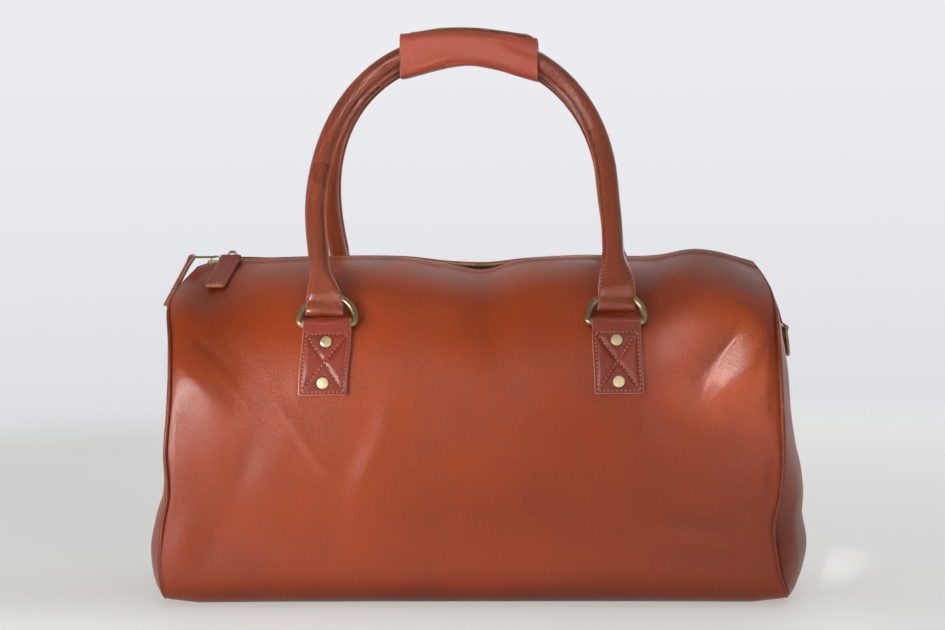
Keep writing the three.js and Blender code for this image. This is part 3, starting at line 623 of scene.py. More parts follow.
def shoulder(end, z):
    """How much fuller the fine leather stands than the frame at an end's seam."""
    full, height, spread = SHOULDER[end]
    toe = TOE[end] * bell(z - TOE_HEIGHT, TOE_SPREAD)
    return ENDS[end] * (full * bell(z - height, spread) + toe)


def body_point(share, face, stretch, t, offset=0.0):
    """Points of the body, and which way is out; offset is how far out of the leather's face they lie."""
    y, z, dy, dz = np.broadcast_arrays(*half_section(share, face, stretch, t))
    x = mix(SEAM["left"](z), SEAM["right"](z), share)
    fuller = np.where(share < 0.5, shoulder("left", z), shoulder("right", z))
    x = x + (2 * share - 1) ** SHOULDER_POWER * fuller
    normal = np.stack([0 * x, FACES[face] * dz, -dy + 0 * x], -1)
    point = np.stack([x, FACES[face] * y, z], -1)
    push = offset - fold_depth(FOLDS, face, x, z)
    return point + normal * push[..., None], normal


def place_at_height(share, face, height):
    """How far along the arch it reaches a height."""
    low = np.zeros(np.shape(height))
    high = np.ones(np.shape(height))
    for _ in range(HALVINGS):
        middle = (low + high) / 2
        below = half_section(share, face, ARCH, middle)[1] < height
        low = np.where(below, middle, low)
        high = np.where(below, high, middle)
    return low


def wall_point(face, x, height, offset):
    """Points over the upper wall at places along the bag and heights, and which way is out."""
    x, height, offset = np.broadcast_arrays(x, np.asarray(height, float), offset)
    left, right = SEAM["left"](height), SEAM["right"](height)
    share = (x - left) / (right - left)
    return body_point(share, face, ARCH, place_at_height(share, face, height), offset)


# Shapes of points and faces


class Shape:
    """The points, faces and finishes of a piece while it is made."""

    def __init__(self):
        self.points = []
        self.faces = []
        self.finishes = []
        self.marks = {}
        self.count = 0

    def add(self, points, faces, finish=0, **marks):
        """Adds a closed part, its faces turned outwards. Marks are values at its points."""
        points = np.reshape(points, (-1, 3))
        fans = [(face[0], a, b) for face in faces for a, b in zip(face[1:], face[2:])]
        a, b, c = np.moveaxis(points[np.array(fans)], 1, 0)
        if np.einsum("ij,ij", a, np.cross(b, c)) < 0:
            faces = [face[::-1] for face in faces]
        self.points.append(points)
        self.faces += [[index + self.count for index in face] for face in faces]
        self.finishes += list(np.broadcast_to(finish, len(faces)))
        for name, values in marks.items():
            self.marks.setdefault(name, []).append((self.count, np.broadcast_to(values, len(points))))
        self.count += len(points)


def grid_faces(rows, columns, round_rows=False, round_columns=False):
    """Four-cornered faces between the points of a grid."""
    row = np.arange(rows if round_rows else rows - 1)[:, None]
    column = np.arange(columns if round_columns else columns - 1)[None, :]
    below = (row + 1) % rows
    beside = (column + 1) % columns
    corners = (
        row * columns + column, row * columns + beside, below * columns + beside, below * columns + column
    )
    return np.stack(np.broadcast_arrays(*corners), -1).reshape(-1, 4).tolist()


def loft(rings, looped=False):
    """A solid through equal rings of points, looped or with flat ends."""
    count, sides = rings.shape[:2]
    faces = grid_faces(count, sides, looped, True)
    if not looped:
        faces.append(list(range(sides))[::-1])
        faces.append(list(range((count - 1) * sides, count * sides)))
    return rings.reshape(-1, 3), faces


def shell(outer, inner, step):
    """A wall between a fine grid of points and an inner grid that keeps one point in every step."""
    coarse = inner[::step, ::step]
    rows, columns = outer.shape[:2]
    low_rows, low_columns = coarse.shape[:2]
    start = rows * columns
    faces = grid_faces(rows, columns)
    faces += [[start + index for index in face[::-1]] for face in grid_faces(low_rows, low_columns)]
    fine = np.arange(start).reshape(rows, columns)
    back = start + np.arange(low_rows * low_columns).reshape(low_rows, low_columns)
    edges = (
        (fine[0], back[0]),
        (fine[:, -1], back[:, -1]),
        (fine[-1, ::-1], back[-1, ::-1]),
        (fine[::-1, 0], back[::-1, 0]),
    )
    for fine_edge, back_edge in edges:
        for place in range(len(back_edge) - 1):
            near = fine_edge[place * step : (place + 1) * step + 1].tolist()
            faces.append(near[::-1] + [int(back_edge[place]), int(back_edge[place + 1])])
    return np.concatenate([outer.reshape(-1, 3), coarse.reshape(-1, 3)]), faces


def even_route(route, step, looped=False):
    """The same route with its points a step apart."""
    route = np.concatenate([route, route[:1]]) if looped else np.asarray(route, float)
    lengths = distances(route)
    count = max(int(round(lengths[-1] / step)), 2)
    places = np.linspace(0, lengths[-1], count + 1)
    if looped:
        places = places[:-1]
    return np.stack([np.interp(places, lengths, axis) for axis in route.T], -1)


def directions(route, looped=False):
    if looped:
        return unit(np.roll(route, -1, 0) - np.roll(route, 1, 0))
    return unit(np.gradient(route, axis=0))


def tube(route, flat, wide, thick, sides, looped=True, squareness=2):
    """A wire along a route that lies in a plane; flat is the plane's own direction."""
    flat = np.broadcast_to(flat, route.shape)
    aside = unit(np.cross(directions(route, looped), flat))
    angle = turns(sides)
    cos, sin = (signed_power(wave, 2 / squareness) for wave in (np.cos(angle), np.sin(angle)))
    rings = route[:, None] + aside[:, None] * (wide * cos)[:, None] + flat[:, None] * (thick * sin)[:, None]
    return loft(rings, looped)


def lathe(profile, sides):
    """A turned solid standing on its origin, from a profile of radius and height."""
    cos, sin = np.cos(turns(sides)), np.sin(turns(sides))
    rings = [np.stack([r * cos, r * sin, np.full(sides, float(h))], -1) for r, h in profile]
    return loft(np.array(rings))


def scatter(template, origins, axes):
    """Copies of a small solid, each with its own origin and three directions."""
    points, faces = template
    placed = origins[:, None] + np.einsum("pk,nkc->npc", points, axes)
    steps = (np.arange(len(origins)) * len(points)).tolist()
    return placed.reshape(-1, 3), [[index + step for index in face] for step in steps for face in faces]


def plate(outline, low, high, bevel):
    """A flat solid of an outline, with bevelled edges, between two heights."""
    middle = outline.mean(0)
    inset = middle + (outline - middle) * (1 - bevel / np.abs(outline - middle).max())
    levels = ((inset, low), (outline, low + bevel), (outline, high - bevel), (inset, high))
    return loft(np.array([np.column_stack([flat, np.full(len(flat), height)]) for flat, height in levels]))


def rounded_outline(half_width, half_height, corner, steps):
    """The outline of a rectangle with round corners."""
    angle = np.concatenate([np.linspace(0, math.pi / 2, steps) + turn * math.pi / 2 for turn in range(4)])
    quarter = np.repeat(np.arange(4), steps)
    sign_x = np.where((quarter == 0) | (quarter == 3), 1, -1)
    sign_y = np.where(quarter < 2, 1, -1)
    x = np.cos(angle) * corner + sign_x * (half_width - corner)
    y = np.sin(angle) * corner + sign_y * (half_height - corner)
    return np.stack([x, y], -1)


def make_piece(name, shape, finishes, body, slot, *nodes):
    """Turns a shape into a piece that moves with a body and stands for its frame nodes."""
    mesh = bpy.data.meshes.new(name)
    mesh.from_pydata((np.concatenate(shape.points) * MM).tolist(), [], shape.faces)
    for finish in finishes:
        mesh.materials.append(bpy.data.materials.get(finish) or make_finish(finish))
    mesh.polygons.foreach_set("material_index", np.array(shape.finishes, np.int32))
    mesh.shade_smooth()
    mesh.set_sharp_from_angle(angle=SHARP_ANGLE)
    for mark, parts in shape.marks.items():
        values = np.zeros(shape.count, np.float32)
        for start, part in parts:
            values[start : start + len(part)] = part
        mesh.attributes.new(mark, "FLOAT", "POINT").data.foreach_set("value", values)
    mesh.update()
    piece = bpy.data.objects.new(name, mesh)
    bpy.context.scene.collection.objects.link(piece)
    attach(piece, body)
    if nodes:
        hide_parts(*nodes)
    return piece


def make_brass(name, shape, body, cad_node):
    """A piece of antique brass."""
    return make_piece(name, shape, ["antique_cast_brass"], body, "antique_brass", cad_node)


def make_strap(name, shape, finish, slot, cad_node):
    """A piece of strap leather with raw edges and stitching."""
    finishes = [finish, "raw_leather_edge", "waxed_thread", "needle_hole"]
    return make_piece(name, shape, finishes, "bag", slot, cad_node)


# Stitching and straps


def stitch_template(size):
    """One stitch of thread that dips into the leather at both ends."""
    half = size["stitch_length"] / 2
    radius = size["thread_width"] / 2
    angle = turns(STITCH_SIDES)
    rings = []
    for place, fat, rise in STITCH_STATIONS:
        aside = fat * radius * np.cos(angle)
        up = radius * (rise + fat * np.sin(angle))
        rings.append(np.stack([np.full(STITCH_SIDES, place * half), aside, up], -1))
    return loft(np.array(rings))


def hole_template(size):
    """A needle hole: a dark lens that lies in the leather's face and paints the shade inside the hole."""
    radius = size["thread_width"] * HOLE_SHARE
    return lathe(((0.05, -0.3), (radius, 0.0), (radius * 0.6, 0.1), (0.05, 0.12)), HOLE_SIDES)


def sew(shape, route, normals, size, thread=1, hole=2):
    """Sews a row of stitches along a route that lies on the leather."""
    lengths = distances(route)
    count = max(int(lengths[-1] / size["stitch_pitch"]), 1)
    pitch = lengths[-1] / count

    def at(places):
        point = np.stack([np.interp(places, lengths, axis) for axis in route.T], -1)
        up = unit(np.stack([np.interp(places, lengths, axis) for axis in normals.T], -1))
        return point, up

    def axes(places):
        ahead, _ = at(np.minimum(places + STITCH_SIGHT, lengths[-1]))
        behind, _ = at(np.maximum(places - STITCH_SIGHT, 0))
        point, up = at(places)
        along = unit(ahead - behind)
        aside = unit(np.cross(up, along))
        return point, np.stack([along, aside, np.cross(along, aside)], 1)

    shape.add(*scatter(stitch_template(size), *axes((np.arange(count) + 0.5) * pitch)), finish=thread)
    shape.add(*scatter(hole_template(size), *axes(np.arange(count + 1) * pitch)), finish=hole)


def fold_path(reach, front, back, centre, radius, ease):
    """A strap's middle line from its far end round a bar and back: distance from the bar, and height."""
    run = np.linspace(reach - STRAP_END_REACH, ease, STRAP_STEPS["straight"])
    straight = np.concatenate([reach - np.array(STRAP_END), run])
    home = straight[:: -STRAP_STEPS["home_skip"]]
    bend = np.linspace(0, 1, STRAP_STEPS["bend"])[1:]
    turn = np.linspace(0, math.pi, STRAP_STEPS["turn"])[1:]
    stretches = [
        np.column_stack([straight, np.full(len(straight), front)]),
        np.column_stack([ease * (1 - bend), mix(front, centre + radius, smooth(bend, 0, 1))]),
        np.column_stack([-radius * np.sin(turn), centre + radius * np.cos(turn)]),
        np.column_stack([ease * bend, mix(centre - radius, back, smooth(bend, 0, 1))]),
        np.column_stack([home, np.full(len(home), back)])[1:],
    ]
    return np.concatenate(stretches), len(straight) + len(bend)


def folded_strap(shape, path, width, thickness, corner, place, swell, columns):
    """A strap folded round a bar, with rounded raw edges; place turns strap measures into points."""
    line, front_count = path
    heading = unit(np.gradient(line, axis=0))
    out = np.column_stack([heading[:, 1], -heading[:, 0]])
    half = thickness / 2
    flat = width / 2 - half
    edge = np.radians(STRAP_EDGE)
    edge_w = flat + half * np.cos(edge)
    edge_h = half * np.sin(edge)
    backs = STRAP_BACK_COLUMNS
    face_w = np.linspace(-flat, flat, columns)
    w = np.concatenate([face_w, edge_w, np.linspace(flat, -flat, backs), -edge_w[::-1]])
    h = np.concatenate([np.full(columns, half), edge_h, np.full(backs, -half), edge_h[::-1]])
    from_end = line[:, 0].max() - line[:, 0]
    inset = corner - np.sqrt(np.maximum(corner**2 - np.maximum(corner - from_end, 0) ** 2, 0))
    rounded = np.sqrt(np.clip(1 - np.maximum(1 - from_end / half, 0) ** 2, CLOSED, 1))
    ring_w = w[None] * (1 - 2 * inset[:, None] / width)
    ring_h = h[None] * rounded[:, None]
    ring_h[:front_count, :columns] += swell(ring_w[:front_count, :columns], line[:front_count, :1])
    away = line[:, :1] + out[:, :1] * ring_h
    height = line[:, 1:] + out[:, 1:] * ring_h
    points, faces = loft(place(ring_w, away, height))
    raw = np.zeros(len(w), int)
    raw[columns - 1 : columns + len(edge)] = 1
    raw[columns + len(edge) + backs - 1 :] = 1
    ends = np.minimum(from_end[1:], from_end[:-1]) < RAW_END * half
    shape.add(points, faces, np.concatenate([np.ravel(np.maximum(raw[None], ends[:, None])), [1, 1]]))


def strap_ease(w, a, width, reach):
    """0 at a strap's raw edges and 1 inside them."""
    return smooth(width / 2 - np.abs(w), *STRAP_EASE["side"]) * smooth(reach - a, *STRAP_EASE["end"])


def sew_on_strap(shape, corners, place, height, size):
    """Sews straight rows between corners, given across the strap and along it."""
    share = np.linspace(0, 1, ROW_POINTS)
    for start, end in zip(corners, corners[1:]):
        w = mix(start[0], end[0], share)
        a = mix(start[1], end[1], share)
        route = place(w, a, np.full(ROW_POINTS, height))
        above = place(w, a, np.full(ROW_POINTS, height + 1))
        sew(shape, route, above - route, size, thread=2, hole=3)


def ring_route(ring):
    """A D-ring's middle line in its own plane: a straight bar, tight corners and a bow."""
    corner = ring["corner"]
    bend = ring["half_width"] - corner
    quarter = np.linspace(0, math.pi / 2, RING_STEPS["corner"])
    half_turn = np.linspace(0, math.pi, RING_STEPS["bow"])
    bar = np.linspace(-bend, bend, RING_STEPS["bar"])
    right = np.column_stack([bend + corner * np.sin(quarter), corner * (1 - np.cos(quarter))])
    rise = ring["rise"] - corner
    bow = np.column_stack([ring["half_width"] * np.cos(half_turn), corner + rise * np.sin(half_turn)])
    left = right[::-1] * (-1, 1)
    return np.concatenate([np.column_stack([bar, 0 * bar]), right[1:], bow[1:], left[1:-1]])


def d_ring(ring, across, up, origin, squareness):
    """A D-ring of cast wire in a placed plane."""
    flat = even_route(ring_route(ring), RING_STEP, looped=True)
    route = origin + flat[:, :1] * across + flat[:, 1:] * up
    return tube(route, np.cross(across, up), ring["wire"], ring["wire"], RING_SIDES, squareness=squareness)


def ring_place(face, x):
    """Origin of a handle ring's bar, and the direction its bow leans."""
    origin, _ = wall_point(face, np.array(float(x)), BAR_HEIGHT, GAP + RING["wire"] + GAP + LOOP_WALL)
    return origin, np.array([0, -FACES[face] * math.sin(RING_LEAN), math.cos(RING_LEAN)])


# Finishes


def node(tree, kind, inputs=None, stops=None, **settings):
    """Adds a node with its settings; an input takes a value or another node's output."""
    made = tree.nodes.new(kind)
    for name, value in settings.items():
        setattr(made, name, value)
    for name, value in (inputs or {}).items():
        if isinstance(value, bpy.types.NodeSocket):
            tree.links.new(value, made.inputs[name])
        else:
            made.inputs[name].default_value = value
    if stops:
        elements = made.color_ramp.elements
        (elements[0].position, first), (elements[1].position, last) = stops[0], stops[-1]
        elements[0].color = (*first, 1)
        elements[1].color = (*last, 1)
        for place, tone in stops[1:-1]:
            elements.new(place).color = (*tone, 1)
    return made


def per_mm(size):
    """The texture scale that draws a pattern at a size in millimetres."""
    return 1 / (size * MM)


def toned(tone, share):
    """A lighter or darker tone of a colour."""
    return tuple(min(channel * share, 1) for channel in tone)


def new_finish(name):
    """A new material, its empty node tree and the places on its piece."""
    material = bpy.data.materials.new(name)
    material.use_nodes = True
    tree = material.node_tree
    tree.nodes.clear()
    return material, tree, node(tree, "ShaderNodeTexCoord").outputs["Object"]


def leather(
    tree, where, tone, grain=1.6, grain_depth=0.15, rough=0.38, gloss=0.05, wrinkle=1.9, wrinkle_depth=0.1
):
    """Smooth drum-dyed cowhide, plated and waxed: a deep mottled brown under a soft broad shine, with a
    fine pebble that shows only in the highlights, parallel wrinkles where it flexes, and paler worn
    places. Its shade mark is painted shade: it darkens the colour and dims the shine where shade falls."""
    raw, shade, flex, lie = (
        node(tree, "ShaderNodeAttribute", attribute_name=mark).outputs["Fac"] for mark in MARKS
    )
    cloud = node(
        tree,
        "ShaderNodeTexNoise",
        {"Vector": where, "Scale": per_mm(MOTTLE), "Detail": 5, "Roughness": 0.6},
    )
    tint = node(
        tree,
        "ShaderNodeValToRGB",
        {"Fac": cloud.outputs["Fac"]},
        stops=((0.28, toned(tone, 0.88)), (0.5, tone), (0.74, toned(tone, 1.08))),
    )
    speck = node(tree, "ShaderNodeTexNoise", {"Vector": where, "Scale": per_mm(PORE), "Detail": 3})
    pores = node(
        tree,
        "ShaderNodeValToRGB",
        {"Fac": speck.outputs["Fac"]},
        stops=((0.3, (0.86, 0.82, 0.8)), (0.6, (1, 1, 1))),
    )
    dyed = node(
        tree,
        "ShaderNodeMix",
        {"Factor": 1, "A": tint.outputs["Color"], "B": pores.outputs["Color"]},
        data_type="RGBA",
        blend_type="MULTIPLY",
    )
    worn = node(
        tree,
        "ShaderNodeMix",
        {"Factor": raw, "A": dyed.outputs["Result"], "B": (*colour("raw_edge"), 1)},
        data_type="RGBA",
    )
    # Painted shade: the shade mark darkens the colour towards a deep brown
    shaded = node(
        tree,
        "ShaderNodeMix",
        {"Factor": shade, "A": worn.outputs["Result"], "B": (*toned(tone, 0.22), 1)},
        data_type="RGBA",
    )
    swell = node(tree, "ShaderNodeTexNoise", {"Vector": where, "Scale": per_mm(SOFT_SWELL), "Detail": 2})
    soft = node(
        tree, "ShaderNodeBump", {"Height": swell.outputs["Fac"], "Distance": 0.35 * MM, "Strength": 0.5}
    )
    pebble = node(
        tree,
        "ShaderNodeTexVoronoi",
        {"Vector": where, "Scale": per_mm(grain), "Randomness": 1},
        feature="SMOOTH_F1",
    )
    grained = node(
        tree,
        "ShaderNodeBump",
        {
            "Height": pebble.outputs["Distance"],
            "Distance": grain_depth * MM,
            "Normal": soft.outputs["Normal"],
        },
    )
    wander = node(
        tree, "ShaderNodeTexNoise", {"Vector": where, "Scale": per_mm(WRINKLE_WANDER["size"]), "Detail": 3}
    )
    drift = node(
        tree,
        "ShaderNodeMath",
        {0: wander.outputs["Fac"], 1: WRINKLE_WANDER["reach"], 2: lie},
        operation="MULTIPLY_ADD",
    )
    ridges = node(
        tree, "ShaderNodeMath", {0: drift.outputs["Value"], 1: 2 * math.pi / wrinkle}, operation="MULTIPLY"
    )
    wave = node(tree, "ShaderNodeMath", {0: ridges.outputs["Value"]}, operation="SINE")
    flexed = node(tree, "ShaderNodeMath", {0: wave.outputs["Value"], 1: flex}, operation="MULTIPLY")
    wrinkled = node(
        tree,
        "ShaderNodeBump",
        {
            "Height": flexed.outputs["Value"],
            "Distance": wrinkle_depth * MM,
            "Normal": grained.outputs["Normal"],
        },
    )
    dull = node(
        tree,
        "ShaderNodeMapRange",
        {
            "Value": cloud.outputs["Fac"],
            "From Min": 0.3,
            "From Max": 0.7,
            "To Min": rough + 0.06,
            "To Max": rough - 0.05,
        },
    )
    # Painted shade also dims the shine, so shaded places reflect less
    sheen = node(tree, "ShaderNodeMapRange", {"Value": shade, "To Min": 0.5, "To Max": 0.05})
    return node(
        tree,
        "ShaderNodeBsdfPrincipled",
        {
            "Base Color": shaded.outputs["Result"],
            "Roughness": dull.outputs["Result"],
            "IOR": 1.5,
            "Specular IOR Level": sheen.outputs["Result"],
            "Coat Weight": gloss,
            "Coat Roughness": 0.3,
            "Normal": wrinkled.outputs["Normal"],
        },
    )


def cut_edge(tree, where, tone):
    """Cut vegetable-tanned leather edge, rubbed down: a fibrous, nearly matt strip of another tone."""
    fibre = node(tree, "ShaderNodeTexNoise", {"Vector": where, "Scale": per_mm(CUT_FIBRE), "Detail": 4})
    tint = node(
        tree,
        "ShaderNodeValToRGB",
        {"Fac": fibre.outputs["Fac"]},
        stops=((0.3, toned(tone, 0.62)), (0.7, toned(tone, 1.12))),
    )
    rough = node(tree, "ShaderNodeBump", {"Height": fibre.outputs["Fac"], "Distance": 0.15 * MM})
    return node(
        tree,
        "ShaderNodeBsdfPrincipled",
        {"Base Color": tint.outputs["Color"], "Roughness": 0.62, "Normal": rough.outputs["Normal"]},
    )


def waxed_thread(tree, where, tone):
    """Twisted polyester thread, waxed: slanting strands with a dull shine, drawn coarser to show."""
    strand = node(
        tree,
        "ShaderNodeTexWave",
        {"Vector": where, "Scale": per_mm(THREAD_STRAND), "Distortion": 1.5},
        bands_direction="DIAGONAL",
    )
    tint = node(
        tree,
        "ShaderNodeValToRGB",
        {"Fac": strand.outputs["Fac"]},
        stops=((0.2, toned(tone, 0.8)), (0.8, toned(tone, 1.15))),
    )
    return node(tree, "ShaderNodeBsdfPrincipled", {"Base Color": tint.outputs["Color"], "Roughness": 0.5})


def needle_hole(tree, where, tone):
    """Painted shade in awl holes and round rivet heads: nearly black, with no shine."""
    fibre = node(tree, "ShaderNodeTexNoise", {"Vector": where, "Scale": per_mm(HOLE_FIBRE)})
    tint = node(
        tree,
        "ShaderNodeValToRGB",
        {"Fac": fibre.outputs["Fac"]},
        stops=((0.3, toned(tone, 0.7)), (0.7, toned(tone, 1.2))),
    )
    return node(tree, "ShaderNodeBsdfPrincipled", {"Base Color": tint.outputs["Color"], "Roughness": 0.9})


def woven_tape(tree, where, tone):
    """Polyester zip tape, woven: matt dark threads that cross every millimetre, drawn coarser to show."""
    weft, warp = (
        node(
            tree, "ShaderNodeTexWave", {"Vector": where, "Scale": per_mm(TAPE_WEAVE)}, bands_direction=way
        )
        for way in "XY"
    )
    cross = node(
        tree, "ShaderNodeMath", {0: weft.outputs["Fac"], 1: warp.outputs["Fac"]}, operation="MULTIPLY"
    )
    tint = node(
        tree,
        "ShaderNodeValToRGB",
        {"Fac": cross.outputs["Value"]},
        stops=((0.0, toned(tone, 0.5)), (0.8, toned(tone, 1.3))),
    )
    bump = node(tree, "ShaderNodeBump", {"Height": cross.outputs["Value"], "Distance": 0.25 * MM})
    return node(
        tree,
        "ShaderNodeBsdfPrincipled",
        {"Base Color": tint.outputs["Color"], "Roughness": 0.85, "Normal": bump.outputs["Normal"]},
    )


def brass(tree, where, tone, patina, rough):
    """Cast brass, tumbled and lacquered: a warm metal whose tarnish is darker and duller than its worn
    faces."""
    tarnish = node(
        tree,
        "ShaderNodeTexNoise",
        {"Vector": where, "Scale": per_mm(TARNISH), "Detail": 5, "Roughness": 0.65},
    )
    tint = node(
        tree,
        "ShaderNodeValToRGB",
        {"Fac": tarnish.outputs["Fac"]},
        stops=((0.3, toned(tone, patina)), (0.62, tone)),
    )
    dull = node(
        tree,
        "ShaderNodeMapRange",
        {
            "Value": tarnish.outputs["Fac"],
            "From Min": 0.3,
            "From Max": 0.65,
            "To Min": rough + 0.14,
            "To Max": rough,
        },
    )
    scratch_scale = per_mm(BRASS_SCRATCH)
    scratch = node(tree, "ShaderNodeTexNoise", {"Vector": where, "Scale": scratch_scale, "Detail": 2})
    fine = node(tree, "ShaderNodeBump", {"Height": scratch.outputs["Fac"], "Distance": 0.02 * MM})
    return node(
        tree,
        "ShaderNodeBsdfPrincipled",
        {
            "Base Color": tint.outputs["Color"],
            "Metallic": 1,
            "Roughness": dull.outputs["Result"],
            "Normal": fine.outputs["Normal"],
        },
    )


# Each finish: how it is made, its colour and what sets it apart
FINISHES = {
    "smooth_cowhide_body": (leather, "body", {}),
    "smooth_cowhide_piping": (leather, "piping", {"rough": 0.5}),
    "rolled_cowhide_handle": (
        leather,
        "handle",
        {
            "grain": 1.3,
            "grain_depth": 0.07,
            "rough": 0.3,
            "gloss": 0.15,
            "wrinkle": 2.4,
            "wrinkle_depth": 0.06,
        },
    ),
    "strap_cowhide_tab": (leather, "tab", {"grain": 1.2, "rough": 0.34, "gloss": 0.1}),
    "soft_cowhide_grip": (leather, "grip", {"grain": 1.4, "grain_depth": 0.04, "rough": 0.5}),
    "strap_cowhide_pull": (leather, "pull", {"grain": 1.2, "rough": 0.42}),
    "raw_leather_edge": (cut_edge, "raw_edge", {}),
    "burnished_leather_edge": (cut_edge, "tongue_edge", {}),
    "waxed_thread": (waxed_thread, "thread", {}),
    "needle_hole": (needle_hole, "needle_hole", {}),
    "woven_zip_tape": (woven_tape, "zip_tape", {}),
    "antique_cast_brass": (brass, "antique_brass", {"patina": 0.6, "rough": 0.28}),
    "polished_brass": (brass, "bright_brass", {"patina": 0.85, "rough": 0.36}),
}


def make_finish(name):
    """A new material for one of the finishes."""
    make_surface, tone, settings = FINISHES[name]
    material, tree, where = new_finish(name)
    surface = make_surface(tree, where, colour(tone), **settings)
    node(tree, "ShaderNodeOutputMaterial", {"Surface": surface.outputs["BSDF"]})
    return material


# Pieces


def clear_of_tabs(x, z):
    """0 under the handle tabs and 1 well away from them."""
    aside = np.maximum(np.abs(np.abs(x) - TAB_X) - TAB["width"] / 2, 0)
    above = np.maximum(np.abs(z - TAB_REST["height"]) - TAB_REST["half_height"], 0)
    return smooth(np.hypot(aside, above), *CALM["tab"])


def seam_gathers(size, side, z, from_seam, seed):
    """The small gathers of leather beside a corded seam."""
    gather = unevenness(side, z, GATHERS["wave"], seed)
    beside = bell(from_seam - GATHERS["inset"], GATHERS["width"])
    return size["pucker"] * gather * beside * smooth(z, *GATHERS["foot"])


def crumpling(face, x, z):
    """How crumpled the leather is at points of a face, and how far across their patch they lie."""
    flex = np.zeros(len(x))
    lie = np.zeros(len(x))
    for patch_x, patch_z, long, wide, turn, strong in CRUMPLES[face]:
        along, aside = along_and_aside(x, z, patch_x, patch_z, turn)
        patch = strong * bell(along, long) * bell(aside, wide)
        lie = np.where(patch > flex, aside, lie)
        flex = np.maximum(flex, patch)
    return flex, lie


def wrap_rows():
    """Face, stretch, place and lip bend of each row of the wrap, from the front lip to the back one."""
    halves = {}
    for face, counts in WRAP_STEPS.items():
        half = []
        for stretch, count in enumerate(counts):
            for step in np.linspace(0, 1, count + 1)[1:]:
                t = 1 - (1 - step) ** ARCH_CROWDING if stretch == ARCH else step
                half.append((face, stretch, t, 0.0))
        halves[face] = half + [(face, ARCH, 1.0, bend) for bend in np.radians(LIP_BENDS)]
    return halves["front"][::-1] + [("front", BASE, 0.0, 0.0)] + halves["back"]


class HOLDALL_OT_wrap(bpy.types.Operator):
    """Make the wrap of leather that is the front, base and back"""

    bl_idname = "holdall.wrap"
    bl_label = "Leather wrap"

    def execute(self, context):
        size = sizes()
        even = np.linspace(0, 1, WRAP_COLUMNS)
        share = mix(even, (1 - np.cos(math.pi * even)) / 2, WRAP_CROWDING)
        outer, inner = [], []
        marks = {"flex": [], "lie": [], "shade": []}
        for face, stretch, t, bend in wrap_rows():
            point, normal = body_point(share, face, stretch, t)
            from_lip = (1 - t) * ARCH_LENGTH if stretch == ARCH else ARCH_LENGTH
            rise, shade = self.relief(size, face, share, point, from_lip)
            up = np.cross(normal, (1, 0, 0)) * -FACES[face]
            lip = (up * math.sin(bend) + normal * (math.cos(bend) - 1)) * LEATHER / 2
            outer.append(point + normal * rise[:, None] + lip)
            inner.append(point + normal * (np.minimum(rise, 0) - LEATHER)[:, None])
            flex, lie = crumpling(face, point[:, 0], point[:, 2])
            for mark, values in (("flex", flex), ("lie", lie), ("shade", shade)):
                marks[mark].append(values)
        points, faces = shell(np.array(outer), np.array(inner), SHELL_STEP)
        spare = np.zeros(len(points) - np.size(marks["shade"]))
        shape = Shape()
        shape.add(points, faces, **{mark: np.append(rows, spare) for mark, rows in marks.items()})
        make_piece("wrap_leather", shape, ["smooth_cowhide_body"], "bag", "body_leather", "body_wrap")
        for face in FACES:
            self.sew_lip(face, size)
        return {"FINISHED"}

    def relief(self, size, face, share, point, from_lip):
        """How far a row stands out of the frame's face, and the painted shade on it."""
        x, z = point[:, 0], point[:, 2]
        from_seam = np.minimum(share, 1 - share) * 2 * HALF_LENGTH
        seed = FACES[face] * WRAP_SEEDS["face"]
        free = clear_of_tabs(x, z)
        upper = smooth(z, *UPPER_SEAM)
        calm = smooth(z, *CALM["foot"]) * smooth(from_seam, *CALM["seam"])
        calm = calm * smooth(from_lip, *CALM["lip"]) * free
        crease = fold_depth(CREASES, face, x, z) * free
        swells = two_swells(x, z, SWELLS, (seed, seed + WRAP_SEEDS["fine"]))
        rise = size["unevenness"] * swells * calm - crease
        rise -= size["seam_tuck"] * bell(from_seam, TUCK["width"]) * (1 - TUCK["upper_loss"] * upper)
        rise += seam_gathers(size, np.sign(share - 0.5), z, from_seam, seed + WRAP_SEEDS["gathers"])
        rise += LIP_RISE * (1 - smooth(from_lip, *LIP_EASE))
        rise -= LIP_ROW["groove"] * bell(from_lip - LIP_ROW["inset"], LIP_ROW["width"])
        # Painted shade: darker beside the seams, in the folds by their depth, and towards the foot
        seam = SEAM_SHADE["dark"] * bell(from_seam, SEAM_SHADE["width"]) * (1 - upper)
        sunk = np.clip(crease + fold_depth(FOLDS, face, x, z), 0, FOLD_SHADE["deepest"])
        middle = 1 - FOOT_SHADE["end_loss"] * (x / HALF_LENGTH) ** 2
        foot = FOOT_SHADE["dark"] * bell(z, FOOT_SHADE["height"]) * middle
        return rise, seam + FOLD_SHADE["dark"] * sunk + foot

    def sew_lip(self, face, size):
        """The row of stitches beside the zip."""
        row = Shape()
        share = np.linspace(*LIP_ROW["shares"], LIP_ROW["points"])
        t = 1 - LIP_ROW["inset"] / ARCH_LENGTH
        route, normal = body_point(share, face, ARCH, t, LIP_RISE - LIP_ROW["sunk"])
        sew(row, route, normal, size, thread=0, hole=1)
        make_piece(f"lip_stitching_{face}", row, ["waxed_thread", "needle_hole"], "bag", "body_leather")


def panel_edges(end, stretch, t):
    """The front and back seam edges of an end panel."""
    share = np.full(np.shape(t), END_SHARE[end])
    return [body_point(share, face, stretch, t, -(LEATHER + GAP))[0] for face in FACES]


